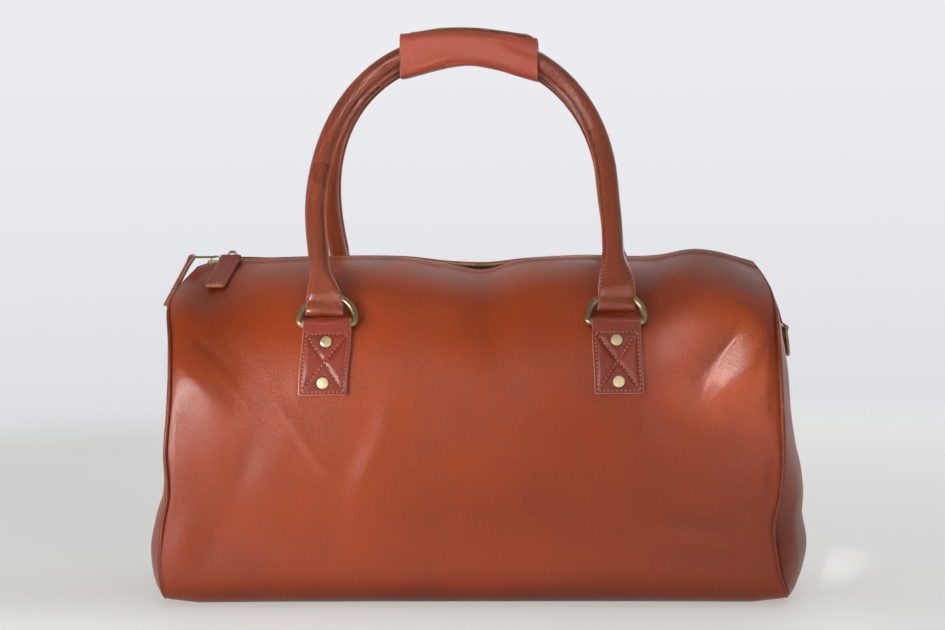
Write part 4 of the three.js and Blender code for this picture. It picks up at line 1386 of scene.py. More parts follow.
def panel_point(end, front, back, aside, offset=0.0):
    """Points of an end panel's outer face; aside runs from -1 at the front seam to 1 at the back seam."""
    aside = np.asarray(aside, float)
    point = front + (back - front) * ((aside + 1) / 2)[..., None]
    z = point[..., 2]
    upward = 2 * (z / TOP["front"](ENDS[end] * HALF_LENGTH)) - 1
    evenness = np.where(upward < 0, PANEL_FOOT_EVENNESS, PANEL_TOP_EVENNESS)
    fullness = (1 - np.abs(aside) ** EVENNESS) * (1 - np.abs(upward) ** evenness)
    sag = PANEL_SAG[end] * bell(z - PANEL_SAG_HEIGHT, PANEL_SAG_SPREAD)
    upper = PANEL_FINE_BELLY[end] * bell(z - PANEL_UPPER["height"], PANEL_UPPER["spread"])
    belly = (PANEL_BELLY + sag + upper) * np.maximum(fullness, 0)
    point[..., 0] += ENDS[end] * (GAP + LEATHER + belly + offset) - shoulder(end, z) * (1 - aside**2)
    return point


def panel_middle(end, aside, height, offset):
    """Points over the upper middle of an end panel, at distances from its middle line and heights."""
    aside, height, offset = np.broadcast_arrays(aside, np.asarray(height, float), offset)
    share = np.full(height.shape, END_SHARE[end])
    front, back = panel_edges(end, ARCH, place_at_height(share, "front", height))
    return panel_point(end, front, back, aside / np.abs(front[..., 1]), offset)


class HOLDALL_OT_end_panels(bpy.types.Operator):
    """Make the two bellied end panels"""

    bl_idname = "holdall.end_panels"
    bl_label = "End panels"

    def execute(self, context):
        size = sizes()
        for end in ENDS:
            self.make_panel(end, size)
        return {"FINISHED"}

    def make_panel(self, end, size):
        aside = np.linspace(-1, 1, PANEL_COLUMNS)
        stations = [(BASE, 1.0)]
        for stretch, count in PANEL_STEPS:
            stations += [(stretch, t) for t in np.linspace(0, 1, count + 1)[1:]]
        outer, inner, shade = [], [], []
        for stretch, t in stations:
            front, back = panel_edges(end, stretch, t)
            flat = panel_point(end, front, back, aside)
            from_seam = (1 - np.abs(aside)) * abs(front[1])
            from_seam = np.minimum(from_seam, np.maximum(PANEL_TOP - flat[:, 2], 0))
            rise, dark = self.relief(size, end, flat, from_seam)
            outer.append(flat + np.array([ENDS[end], 0, 0]) * rise[:, None])
            inner.append(panel_point(end, front, back, aside, -LEATHER))
            shade.append(dark)
        points, faces = shell(np.array(outer), np.array(inner), SHELL_STEP)
        spare = np.zeros(len(points) - np.size(shade))
        shape = Shape()
        shape.add(points, faces, shade=np.append(shade, spare))
        name = f"panel_leather_{end}"
        make_piece(name, shape, ["smooth_cowhide_body"], "bag", "body_leather", f"end_panel_{end}")

    def relief(self, size, end, flat, from_seam):
        """How far a row stands out of the frame's panel, and the painted shade on it."""
        y, z = flat[:, 1], flat[:, 2]
        beside_tab = np.maximum(np.abs(y) - PANEL_TAB_REST["half_width"], 0)
        below_tab = np.maximum(PANEL_TAB_REST["bottom"] - z, 0)
        free = smooth(np.hypot(beside_tab, below_tab), *PANEL_TAB_REST["ease"])
        calm = smooth(from_seam, *PANEL_CALM["seam"]) * smooth(z, *PANEL_CALM["foot"]) * free
        seeds = [ENDS[end] * seed for seed in PANEL_SEEDS["swells"]]
        rise = PANEL_SWELL_RISE * size["unevenness"] * two_swells(y, z, PANEL_SWELLS, seeds) * calm
        rise += seam_gathers(size, np.sign(y), z, from_seam, ENDS[end] * PANEL_SEEDS["gathers"])
        # Painted shade beside the seams and low on the panel
        seam = PANEL_SEAM_SHADE["dark"] * bell(from_seam, PANEL_SEAM_SHADE["width"])
        low = PANEL_LOW_SHADE["dark"] * bell(z - PANEL_LOW_SHADE["height"], PANEL_LOW_SHADE["spread"])
        return rise, seam + low


class HOLDALL_OT_piping(bpy.types.Operator):
    """Make the corded seams round both ends"""

    bl_idname = "holdall.piping"
    bl_label = "Piping"

    def execute(self, context):
        for end in ENDS:
            rings = []
            for face in FACES:
                half = [
                    self.ring(end, face, stretch, t)
                    for stretch, count in PIPING_STEPS
                    for t in np.linspace(0, 1, count + 1)[1:]
                ]
                rings += half[::-1] if face == "front" else half
            shape = Shape()
            shape.add(*loft(np.array(rings), looped=True))
            name = f"piping_cord_{end}"
            make_piece(name, shape, ["smooth_cowhide_piping"], "bag", "piping_leather", f"piping_{end}")
        return {"FINISHED"}

    def ring(self, end, face, stretch, t):
        """The cord's round section at one place; it sinks and thins where the seam is slack."""
        side = ENDS[end]
        share = np.array(END_SHARE[end])
        height = half_section(share, face, stretch, t)[1]
        slack = smooth(height, *PIPING_SLACK["top"]) + 1 - smooth(height, *PIPING_SLACK["foot"])
        point, normal = body_point(share, face, stretch, t, PIPING_PROUD - PIPING_SLACK["sinks"] * slack)
        radius = PIPING_RADIUS * (1 - PIPING_SLACK["thins"] * slack)

        def uneven(kind):
            y, z = point[1:] / kind["wave"]
            return kind["rise"] * noise.noise((y, z, side * kind["seed"]))

        outward = np.array([side, 0, 0])
        centre = point + outward * radius + normal * uneven(PIPING_WOBBLE)
        angle = turns(PIPING_SIDES)[:, None]
        spokes = np.cos(angle) * outward + np.sin(angle) * normal
        return centre + radius * (1 + uneven(PIPING_SWELL)) * spokes


def tape_edge(share, face, t, depth):
    return body_point(share, face, ARCH, t, -(LEATHER + GAP) - depth)[0]


def chain_seat(share):
    """Middle of the zip's teeth, on top of the tape."""
    front = tape_edge(share, "front", 1.0, 0)
    back = tape_edge(share, "back", 1.0, 0)
    return np.stack([front[..., 0], 0 * front[..., 0], np.maximum(front[..., 2], back[..., 2]) + GAP], -1)


class HOLDALL_OT_zip(bpy.types.Operator):
    """Make the woven zip tape and its teeth"""

    bl_idname = "holdall.zip"
    bl_label = "Zip"

    def execute(self, context):
        share = np.linspace(0, 1, TAPE_COLUMNS)
        lap = np.linspace(TAPE_INSET, 1, TAPE_STEPS)

        def layer(depth):
            rows = [tape_edge(share, "front", t, depth) for t in lap]
            front, back = (tape_edge(share, face, 1.0, depth) for face in FACES)
            rows += [mix(front, back, step) for step in np.linspace(0, 1, TAPE_STEPS)[1:-1]]
            rows += [tape_edge(share, "back", t, depth) for t in lap[::-1]]
            return np.array(rows)

        shape = Shape()
        shape.add(*shell(layer(0), layer(TAPE_THICKNESS), SHELL_STEP))
        make_piece("zip_tape_woven", shape, ["woven_zip_tape"], "bag", "zip_tape", "zip_tape")
        self.make_teeth(sizes()["tooth_pitch"])
        return {"FINISHED"}

    def make_teeth(self, pitch):
        """Teeth from either side in turn, along the middle of the tape."""
        line = even_route(chain_seat(np.linspace(0, 1, CHAIN_POINTS)), pitch / 2)[2:-2]
        tooth = plate(rounded_outline(*TOOTH.values()), 0, CHAIN_THICKNESS, TOOTH_BEVEL)
        along = directions(line)
        aside = np.broadcast_to((0.0, 1.0, 0.0), along.shape)
        axes = np.stack([along, aside, np.cross(along, aside)], 1)
        side = np.where(np.arange(len(line)) % 2 == 0, -1, 1)[:, None]
        teeth = Shape()
        teeth.add(*scatter(tooth, line + aside * side * TOOTH_ASIDE, axes))
        make_brass("zip_teeth", teeth, "bag", "zip_chain")


class HOLDALL_OT_sliders(bpy.types.Operator):
    """Make both zip sliders with their links and leather pulls"""

    bl_idname = "holdall.sliders"
    bl_label = "Zip sliders and pulls"

    def execute(self, context):
        size = sizes()
        left = SEAM["left"](TOP_LINE["front"][1])
        for label, slider in SLIDERS.items():
            share = np.array((slider["x"] - left) / (2 * HALF_LENGTH))
            seat = chain_seat(share)[2] + CHAIN_THICKNESS + GAP
            origin = np.array([slider["x"], 0, seat])
            self.make_slider(label, origin)
            eye = origin + (0, 0, SLIDER["height"] + SLIDER["bridge_height"] / 2)
            self.make_link(label, eye, np.array(slider["link_end"], float))
            self.make_pull(label, slider, size)
        return {"FINISHED"}

    def make_slider(self, label, origin):
        """A slider's body with the bridge over it."""
        nose = np.array(SLIDER_NOSE)
        outline = np.concatenate([nose, nose[::-1] * (1, -1)]) * (SLIDER["length"] / 2, SLIDER["width"] / 2)
        shape = Shape()
        points, faces = plate(outline, 0, SLIDER["height"], SLIDER_BEVEL)
        shape.add(points + origin, faces)
        wall = BRIDGE["half_wall"]
        turn = np.linspace(0, math.pi, BRIDGE["points"])
        bow, crown = (signed_power(wave, BRIDGE["bow"]) for wave in (np.cos(turn), np.sin(turn)))
        reach = SLIDER["bridge"] / 2 - wall
        height = SLIDER["height"] - wall + (SLIDER["bridge_height"] - 2 * wall) * crown
        route = np.column_stack([reach * bow, 0 * turn, height]) + origin
        bridge = tube(
            route,
            (0.0, 1.0, 0.0),
            wall,
            SLIDER["bridge_width"] / 2,
            BRIDGE["sides"],
            looped=False,
            squareness=BRIDGE["squareness"],
        )
        shape.add(*bridge)
        make_brass(f"slider_{label}", shape, "bag", f"zip_slider_{label}")

    def make_link(self, label, eye, link_end):
        """The wire link between a slider's bridge and its pull."""
        reach = link_end - eye
        long = np.linalg.norm(reach)
        along = reach / long
        aside = unit(np.cross((0, 0, 1.0), reach))
        flat = rounded_outline(long / 2, LINK["half_width"], LINK["corner"], LINK["corner_steps"])
        route = eye + reach / 2 + flat[:, :1] * along + flat[:, 1:] * aside
        route = even_route(route, LINK["step"], looped=True)
        shape = Shape()
        shape.add(*tube(route, np.cross(along, aside), LINK["wire"], LINK["wire"], LINK["sides"]))
        make_brass(f"link_{label}", shape, "bag", f"zip_link_{label}")

    def make_pull(self, label, slider, size):
        """A leather pull folded through its link and sewn."""
        width = PULL_WIDTH[label]
        link_end = np.array(slider["link_end"], float)
        across = unit(np.array(slider["across"], float))
        normal = unit(np.cross(across, np.array(slider["pull_end"]) - link_end))
        down = np.cross(normal, across)
        if normal[2] < 0:
            normal = -normal

        def place(w, a, off):
            return link_end + w[..., None] * across + a[..., None] * down + off[..., None] * normal

        layer = PULL["thickness"] / 2 - PLY_GAP
        reach = PULL["length"] - PULL["eye_inset"]
        face = layer / 2 + PLY_GAP
        path = fold_path(reach, face, -face, 0, LINK["wire"] + layer / 2, PULL["neck"])

        def swell(w, a):
            inside = smooth(width / 2 - np.abs(w), *PULL_SWELL["side"])
            return PULL_SWELL["rise"] * size["quilt"] * inside * smooth(reach - a, *PULL_SWELL["end"])

        shape = Shape()
        folded_strap(shape, path, width, layer, PULL["corner"], place, swell, PULL["columns"])
        aside = width / 2 - PULL_ROW["inset"] * size["stitch_inset"]
        start, end = PULL_ROW["from"], reach - PULL_ROW["end"]
        corners = [(-aside, start), (-aside, end), (aside, end), (aside, start)]
        sew_on_strap(shape, corners, place, layer + STITCH_SEAT, {**size, **PULL_THREAD})
        make_strap(f"pull_strap_{label}", shape, "strap_cowhide_pull", "pull_leather", f"zip_pull_{label}")


def tab_sites():
    """Face, end and place along the bag of each handle tab."""
    return [(face, end, side * TAB_X) for face in FACES for end, side in ENDS.items()]


def nearest_row(w, a, corners, closed):
    """Distance from points on a strap to the nearest of its stitch rows."""
    ends = corners[1:] + corners[:1] if closed else corners[1:]
    distance = np.full(np.broadcast(w, a).shape, np.inf)
    for (w0, a0), (w1, a1) in zip(corners, ends):
        run_w, run_a = w1 - w0, a1 - a0
        share = np.clip(((w - w0) * run_w + (a - a0) * run_a) / (run_w**2 + run_a**2), 0, 1)
        distance = np.minimum(distance, np.hypot(w - w0 - share * run_w, a - a0 - share * run_a))
    return distance


class HOLDALL_OT_tabs(bpy.types.Operator):
    """Make the stitched and riveted tabs of the handle rings"""

    bl_idname = "holdall.tabs"
    bl_label = "Handle tabs and rivets"

    def execute(self, context):
        size = sizes()
        for face, end, x in tab_sites():
            self.make_tab(face, end, x, size)
        return {"FINISHED"}

    def make_tab(self, face, end, x, size):
        """A tab folded round its ring's bar, quilted by its stitch rows and pressed by its rivets."""
        lowest, highest = TAB["bottom"] - TAB_SPAN["below"], BAR_HEIGHT + TAB_SPAN["above"]
        heights = np.linspace(lowest, highest, STRAP_POINTS)
        lengths = distances(wall_point(face, float(x), heights, 0.0)[0])
        bar = np.interp(BAR_HEIGHT, heights, lengths)
        reach = bar - np.interp(TAB["bottom"], heights, lengths)

        def lean(a):
            return TAB_LEAN[end] * smooth(a, 0, reach)

        def place(w, a, off):
            return wall_point(face, x + w + lean(a), np.interp(bar - a, lengths, heights), off)[0]

        layer = TAB["thickness"] / 2 - PLY_GAP
        centre = GAP + RING["wire"] + GAP + LOOP_WALL
        radius = centre - GAP - layer / 2
        front = GAP + TAB["thickness"] - layer / 2
        path = fold_path(reach, front, GAP + layer / 2, centre, radius, TAB["neck"])
        aside = TAB["width"] / 2 - size["stitch_inset"]
        high, low = TAB_ROW_FROM, reach - size["stitch_inset"]
        outline = [(-aside, high), (aside, high), (aside, low), (-aside, low)]
        crosses = [[(-aside, high), (aside, low)], [(aside, high), (-aside, low)]]
        rivets = {rank: bar - np.interp(height, heights, lengths) for rank, height in RIVET_HEIGHTS.items()}

        def swell(w, a):
            distance = nearest_row(w, a, outline, True)
            for row in crosses:
                distance = np.minimum(distance, nearest_row(w, a, row, False))
            side, top = TAB_ROW_EASE["side"], TAB_ROW_EASE["top"]
            inside = smooth(aside - np.abs(w), *side) * smooth(low - a, *side)
            inside = inside * smooth(a, high - top, high + top)
            rise = TAB_PUFF[end] * size["quilt"] * (1 - bell(distance, QUILT_ROW))
            rise = rise * mix(TAB_RIM_PUFF, 1, inside) * strap_ease(w, a, TAB["width"], reach)
            for rivet in rivets.values():
                pressed = bell(np.hypot(w, a - rivet), RIVET_PRESS["radius"])
                rise = rise * (1 - RIVET_PRESS["share"] * pressed)
            return rise - QUILT_GROOVE["depth"] * bell(distance, QUILT_GROOVE["width"])

        shape = Shape()
        folded_strap(shape, path, TAB["width"], layer, TAB["corner"], place, swell, TAB["columns"])
        for row in (outline + outline[:1], *crosses):
            sew_on_strap(shape, row, place, GAP + TAB["thickness"] - STITCH_SEAT, size)
        name = f"{face}_{end}"
        make_strap(f"tab_strap_{name}", shape, "strap_cowhide_tab", "tab_leather", f"tab_{name}")
        for rank, height in RIVET_HEIGHTS.items():
            self.make_rivet(f"{name}_{rank}", face, x + lean(rivets[rank]), height)

    def make_rivet(self, name, face, x, height):
        """A domed rivet head in a dark ring of painted shade."""
        seat, normal = wall_point(face, x, np.array(float(height)), GAP + TAB["thickness"] + RIVET_SEAT)
        along = np.array([1.0, 0, 0])
        axes = np.stack([along, np.cross(normal, along), normal])[None]
        head = Shape()
        head.add(*scatter(lathe(RIVET_PROFILE, RIVET_SIDES), seat[None], axes))
        # The dark ring paints the shade round the head
        head.add(*scatter(lathe(RIVET_SHADE_RING, RIVET_SIDES), seat[None], axes), finish=1)
        finishes = ["polished_brass", "needle_hole"]
        make_piece(f"rivet_head_{name}", head, finishes, "bag", "bright_brass", f"rivet_{name}")


class HOLDALL_OT_rings(bpy.types.Operator):
    """Make the four D-rings of the handles"""

    bl_idname = "holdall.rings"
    bl_label = "Handle rings"

    def execute(self, context):
        for face, end, x in tab_sites():
            origin, up = ring_place(face, x)
            shape = Shape()
            shape.add(*d_ring(RING, np.array([1.0, 0, 0]), up, origin, RING_SQUARENESS))
            make_brass(f"handle_ring_{face}_{end}", shape, "bag", f"d_ring_{face}_{end}")
        return {"FINISHED"}


def handle_line(face):
    """A handle's middle line: up from one ring, over the arch and down to the other."""

    def start(x, rise):
        origin, up = ring_place(face, x)
        return origin + up * rise

    foot = start(-TAB_X, PADDLE_START["left"])
    top = HANDLE_TOP[face]

    def leaning(z):
        way = np.minimum((z - foot[2]) / (top - HANDLE_MEET_DROP - foot[2]), 1)
        eased = way + (way - way**HANDLE_LEAN_EASE) / (HANDLE_LEAN_EASE - 1)
        return mix(foot[1], FACES[face] * HANDLE_HALF_SPREAD, eased)

    angle = np.linspace(math.pi, 0, HANDLE_ARCH["points"])
    power = 2 / HANDLE_ARCH["power"]
    cos, sin = (signed_power(wave, power) for wave in (np.cos(angle), np.sin(angle)))
    x = HANDLE_ARCH["x"] + HANDLE_HALF_WIDTH[face] * cos
    z = HANDLE_ARCH["z"] + (top - HANDLE_ARCH["z"]) * np.maximum(sin, 0)
    arch = np.column_stack([x, leaning(z), z])
    leg = {end: np.array([HANDLE_LEG[end], leaning(HANDLE_LEG["z"]), HANDLE_LEG["z"]]) for end in ENDS}
    flat = {
        end: [start(side * TAB_X, rise) for rise in (PADDLE_START[end], PADDLE["knot"])]
        for end, side in ENDS.items()
    }
    knots = np.array([*flat["left"], leg["left"], *arch, leg["right"], *flat["right"][::-1]])
    chords = np.concatenate([[0], np.cumsum(np.linalg.norm(np.diff(knots, axis=0), axis=1) ** 0.5)])
    return curve_through(chords, knots)(np.linspace(0, chords[-1], HANDLE_POINTS))


class HOLDALL_OT_handles(bpy.types.Operator):
    """Make the two rolled handles with their flat sewn ends"""

    bl_idname = "holdall.handles"
    bl_label = "Rolled handles"

    def execute(self, context):
        size = sizes()
        for face in FACES:
            self.make_handle(face, size)
        return {"FINISHED"}

    def make_handle(self, face, size):
        """A rolled handle with a sewn seam, which opens into a flat end over each ring."""
        line = even_route(handle_line(face), HANDLE_STEP)
        along = directions(line)
        s = np.arange(len(line)) * HANDLE_STEP
        from_end = np.minimum(s, s[-1] - s)
        inner = FACES[face] * unit(np.cross((0, FACES[face], 0), along))
        outer = unit(np.cross(inner, along)) * FACES[face]
        outer *= np.sign(outer[:, 1:2] * FACES[face])

        def by_leg(values):
            return np.where(s < s[-1] / 2, values["left"], values["right"])

        flat = PADDLE["flat"]
        rolled = flat + PADDLE["taper"]
        roundness = smooth(from_end, flat, rolled)[:, None]
        tubular = smooth(from_end, flat + ROLL_EASE[0], rolled + ROLL_EASE[1])[:, None]
        flare = by_leg({end: smooth(from_end, *reach) for end, reach in PADDLE_FLARE.items()})
        half_width = mix(PADDLE["half_width"], HANDLE_RADIUS, flare)[:, None]
        brow = curve_through(PADDLE_BROW["from_end"], PADDLE_BROW["half_thickness"])(from_end)
        open_share = 1 - np.clip(from_end / PADDLE["half_thickness"], 0, 1)
        half_thick = (brow * np.sqrt(np.clip(1 - open_share**2, CLOSED, 1)))[:, None]
        squareness = mix(PADDLE["squareness"], 2, roundness)
        hollow = by_leg(PADDLE_HOLLOW) * bell(from_end - PADDLE_HOLLOW["place"], PADDLE_HOLLOW["spread"])
        shift = by_leg(
            {
                end: sum(far * bell(from_end - place, spread) for far, place, spread in shifts)
                for end, shifts in LEG_SHIFTS.items()
            }
        )
        line = line + shift[:, None] * (1, 0, 0)

        turn = self.turns_from_seam()[None]
        from_seam = turn - ROLL_SEAM
        cos, sin = (signed_power(wave, 2 / squareness) for wave in (np.cos(turn), np.sin(turn)))
        parting = 1 - PADDLE_PARTING["depth"] * (1 - roundness) * bell(sin, PADDLE_PARTING["width"])
        fin = size["seam_fin"] * tubular * bell(from_seam, ROLL_FIN_WIDTH)
        pinch = sum(bell(from_seam + side * ROLL_PINCH["aside"], ROLL_PINCH["width"]) for side in (-1, 1))
        crinkled = size["crinkle"] * self.crinkles(face, s, turn) * mix(CRINKLE["flat_share"], 1, tubular)
        proud = fin - ROLL_PINCH["depth"] * tubular * pinch + crinkled
        dip = 1 - hollow[:, None] * bell(cos, PADDLE_HOLLOW["width"]) * (sin > 0)
        across = (half_width * parting * cos + proud * np.cos(turn))[..., None] * inner[:, None]
        over = (half_thick * dip * sin + proud * np.sin(turn))[..., None] * outer[:, None]

        sides = smooth(np.abs(cos) * parting, *PADDLE_RAW["side"])
        sides = sides * smooth(from_end, *PADDLE_RAW["end"])[:, None]
        seam_raw = ROLL_RAW["share"] * tubular * bell(from_seam, ROLL_RAW["width"])
        # Painted shade in the groove beside the seam and along the flat ends' parting
        seam_dark = tubular * bell(from_seam - ROLL_PINCH["aside"], ROLL_PINCH["dark_width"])
        parting_dark = (1 - roundness) * bell(sin, PADDLE_PARTING["dark_width"])
        marks = {
            "raw": np.maximum(seam_raw, PADDLE_RAW["share"] * (1 - tubular) * sides),
            "shade": PADDLE_PARTING["dark"] * parting_dark + ROLL_PINCH["dark"] * seam_dark,
            "flex": ROLL_FLEX * tubular + 0 * turn,
            "lie": s[:, None] + ROLL_SLANT * np.sin(turn),
        }
        shape = Shape()
        points, faces = loft(line[:, None] + across + over)
        shape.add(points, faces, **{mark: np.ravel(values) for mark, values in marks.items()})
        self.sew_ends(shape, line, inner, outer, half_width, half_thick, squareness, from_end, size)
        finishes = ["rolled_cowhide_handle", "waxed_thread", "needle_hole"]
        make_piece(f"handle_roll_{face}", shape, finishes, "bag", "handle_leather", f"handle_{face}")

    def turns_from_seam(self):
        """Angles round a handle, close together at its seam."""
        reach = ROLL_SEAM_GRID["reach"]
        close = ROLL_SEAM + np.radians(np.linspace(-reach, reach, ROLL_SEAM_GRID["close_points"]))
        other = np.linspace(close[-1], close[0] + 2 * math.pi, ROLL_SEAM_GRID["other_points"])[1:-1]
        return np.concatenate([close, other])

    def crinkles(self, face, s, turn):
        """Fine folds across a rolled handle, on broader ones."""
        s, turn = np.broadcast_arrays(s[:, None], turn)
        fine = unevenness(
            s + CRINKLE["slant"] * np.sin(turn),
            CRINKLE["round"] * np.cos(turn),
            CRINKLE["wave"],
            FACES[face] * CRINKLE["seed"],
        )
        broad = unevenness(
            s,
            BROAD_CRINKLE["round"] * np.sin(turn),
            BROAD_CRINKLE["wave"],
            FACES[face] * BROAD_CRINKLE["seed"],
        )
        return fine + BROAD_CRINKLE["share"] * broad

    def sew_ends(self, shape, line, inner, outer, half_width, half_thick, squareness, from_end, size):
        """Stitch rows up both sides of each flared end."""
        inset = size["stitch_inset"]
        half = len(line) // 2
        for end, leg in (("left", slice(0, half)), ("right", slice(half, len(line)))):
            low, high = PADDLE_SEWN[end]
            sewn = (from_end[leg] > low) & (from_end[leg] < high)
            wide, thick, square, middle, aside, out = (
                part[leg][sewn] for part in (half_width, half_thick, squareness, line, inner, outer)
            )
            cos = (1 - inset / wide) ** (square / 2)
            height = thick * np.sqrt(1 - cos**2) ** (2 / square)
            for side in (-1, 1):
                up = out + PADDLE_STITCH_LEAN * side * aside
                row = middle + side * (wide - inset) * aside + height * out
                sew(shape, row + STITCH_SEAT * up, up, size)


class HOLDALL_OT_grip(bpy.types.Operator):
    """Make the leather grip that holds the handles together"""

    bl_idname = "holdall.grip"
    bl_label = "Handle grip"

    def execute(self, context):
        top, bottom = (curve_through(GRIP_LINE["x"], GRIP_LINE[line]) for line in ("top", "bottom"))
        start, end = GRIP_LINE["x"][0], GRIP_LINE["x"][-1]
        edge = GRIP["edge"]

        def section(x, inset):
            """The sleeve's outline at a place along it, with even sides."""
            high, low = float(top(x)), float(bottom(x))
            half_height = (high - low) / 2 - inset
            corner = GRIP["corner"] - inset
            flat = rounded_outline(GRIP["half_depth"] - inset, half_height, corner, GRIP["corner_steps"])
            ring = np.concatenate([flat, flat[:1]])
            lengths = distances(ring)
            places = np.linspace(0, lengths[-1], GRIP["sides"] + 1)[:-1]
            y, z = (np.interp(places, lengths, axis) for axis in ring.T)
            return np.column_stack([np.full(len(y), x), y, z + (high + low) / 2])

        bends = np.radians(GRIP_EDGE_BENDS)
        edges = list(zip(edge * (np.sin(bends) - 1), LEATHER / 2 * (1 - np.cos(bends))))
        places = np.linspace(start + edge, end - edge, GRIP["columns"])
        outside = [self.soften(section(x, 0), float(top(x)), float(bottom(x))) for x in places]
        right = [section(end + tuck, inset) for tuck, inset in edges]
        lining = [section(x, LEATHER) for x in np.linspace(end - edge, start + edge, GRIP_LINING["rings"])]
        left = [section(start - tuck, inset) for tuck, inset in edges[::-1]]
        counts = [GRIP["sides"] * len(rings) for rings in (outside, right, lining, left)]
        shape = Shape()
        points, faces = loft(np.array(outside + right + lining + left), looped=True)
        shape.add(points, faces, raw=np.repeat([0, 1, GRIP_LINING["raw"], 1], counts))
        self.add_tongue(shape, top, start, end)
        finishes = ["soft_cowhide_grip", "burnished_leather_edge"]
        make_piece("grip_sleeve", shape, finishes, "bag", "grip_leather", "handle_grip")
        return {"FINISHED"}

    def soften(self, ring, high, low):
        """A ring of the sleeve with its creases and swells."""
        x, z = ring[:, 0], ring[:, 2]
        share = (z - low) / (high - low)
        slack = 1 - bell(x - GRIP_HOLLOW["full_x"], GRIP_HOLLOW["full_width"])
        push = GRIP_HOLLOW["depth"] * bell(share - GRIP_HOLLOW["share"], GRIP_HOLLOW["width"]) * slack
        push = push + GRIP_SWELL["rise"] * unevenness(x, z, GRIP_SWELL["wave"], GRIP_SWELL["seed"])
        for crease_x, crease_z, long, wide, turn, deep in GRIP_CREASES:
            along, aside = along_and_aside(x, z, crease_x, crease_z, turn)
            push = push + deep * bell(along, long) * bell(aside, wide)
        y = ring[:, 1] + smooth(-ring[:, 1], GRIP_FRONT_FROM, GRIP["half_depth"]) * push
        uneven = unevenness(x, y, GRIP_TOP_SWELL["wave"], GRIP_TOP_SWELL["seed"])
        return np.column_stack([x, y, z + GRIP_TOP_SWELL["rise"] * uneven])

    def add_tongue(self, shape, top, start, end):
        """The closing tongue that lies over the top of the sleeve."""
        low_x, high_x = start + GRIP_TONGUE["left_inset"], end - GRIP_TONGUE["right_inset"]
        middle = (GRIP_TONGUE["front"] + GRIP_TONGUE["back"]) / 2
        half_depth = (GRIP_TONGUE["back"] - GRIP_TONGUE["front"]) / 2
        corner = GRIP_TONGUE["corner"]
        sides = TONGUE_GRID["sides"]
        angle = turns(sides)
        cos, sin = (signed_power(wave, TONGUE_EDGE["power"]) for wave in (np.cos(angle), np.sin(angle)))
        rings = []
        for x in np.linspace(low_x, high_x, TONGUE_GRID["columns"]):
            near = min(x - low_x, high_x - x)
            round_off = corner - math.sqrt(max(corner**2 - max(corner - near, 0) ** 2, 0))
            wide = half_depth - round_off * TONGUE_EDGE["corner_share"]
            tip = smooth(x - low_x, *TONGUE_TIP["left"]) * smooth(high_x - x, *TONGUE_TIP["right"])
            half = GRIP_TONGUE["thickness"] / 2 * mix(TONGUE_TIP["thin"], 1, tip)
            curl = TONGUE_SEAT["curl"] * bell(near, TONGUE_SEAT["curl_width"])
            lift = float(top(x)) + half - TONGUE_SEAT["sunk"] + curl
            rings.append(np.column_stack([np.full(sides, x), middle + wide * cos, lift + half * sin]))
        points, faces = loft(np.array(rings))
        edge = np.abs(np.cos(angle + math.pi / sides)) > TONGUE_EDGE["raw_from"]
        shape.add(points, faces, np.concatenate([np.tile(edge, len(rings) - 1), [1, 1]]).astype(int))


class HOLDALL_OT_end_rings(bpy.types.Operator):
    """Make the strap rings and their tabs on the end panels"""

    bl_idname = "holdall.end_rings"
    bl_label = "End rings and tabs"

    def execute(self, context):
        size = sizes()
        for end in ENDS:
            self.make_end(end, size)
        return {"FINISHED"}

    def make_end(self, end, size):
        """A tab folded round its ring's bar, and the ring that swings in it."""
        lowest, highest = END_BAR_HEIGHT - END_TAB_SPAN["below"], END_TAB["top"] + END_TAB_SPAN["above"]
        heights = np.linspace(lowest, highest, STRAP_POINTS)
        lengths = distances(panel_middle(end, 0.0, heights, 0.0))
        bar = np.interp(END_BAR_HEIGHT, heights, lengths)
        reach = np.interp(END_TAB["top"], heights, lengths) - bar

        def place(w, a, off):
            return panel_middle(end, w, np.interp(bar + a, lengths, heights), off)

        layer = END_TAB["thickness"] / 2 - PLY_GAP
        loop = END_RING["wire"] + GAP + END_LOOP_WALL
        front = GAP + END_TAB["thickness"] - layer / 2
        path = fold_path(reach, front, GAP + layer / 2, GAP + loop, loop - layer / 2, END_TAB["neck"])
        inset = END_TAB_ROW["inset"] * size["stitch_inset"]
        aside = END_TAB["width"] / 2 - inset
        low, high = END_TAB_ROW["from"], reach - inset
        corners = [(-aside, low), (aside, low), (aside, high), (-aside, high)]

        def swell(w, a):
            rise = END_TAB_PUFF * size["quilt"] * (1 - bell(nearest_row(w, a, corners, True), QUILT_ROW))
            return rise * strap_ease(w, a, END_TAB["width"], reach)

        shape = Shape()
        width, corner, columns = (END_TAB[key] for key in ("width", "corner", "columns"))
        folded_strap(shape, path, width, layer, corner, place, swell, columns)
        seat = GAP + END_TAB["thickness"] - STITCH_SEAT
        sew_on_strap(shape, corners + corners[:1], place, seat, size)
        make_strap(f"end_strap_{end}", shape, "strap_cowhide_tab", "tab_leather", f"end_tab_{end}")

        hanging = np.array([END_BAR_HEIGHT, END_BAR_HEIGHT - END_RING["rise"]])
        above, below = panel_middle(end, 0.0, hanging, 0.0)
        hinge_x, hinge_z = END_HINGE[end]
        origin = np.array([hinge_x, 0, hinge_z])
        ring = Shape()
        ring.add(*d_ring(END_RING, np.array([0, 1.0, 0]), unit(below - above), origin, END_RING_SQUARENESS))
        make_brass(f"strap_ring_{end}", ring, f"ring_{end}", f"end_ring_{end}")


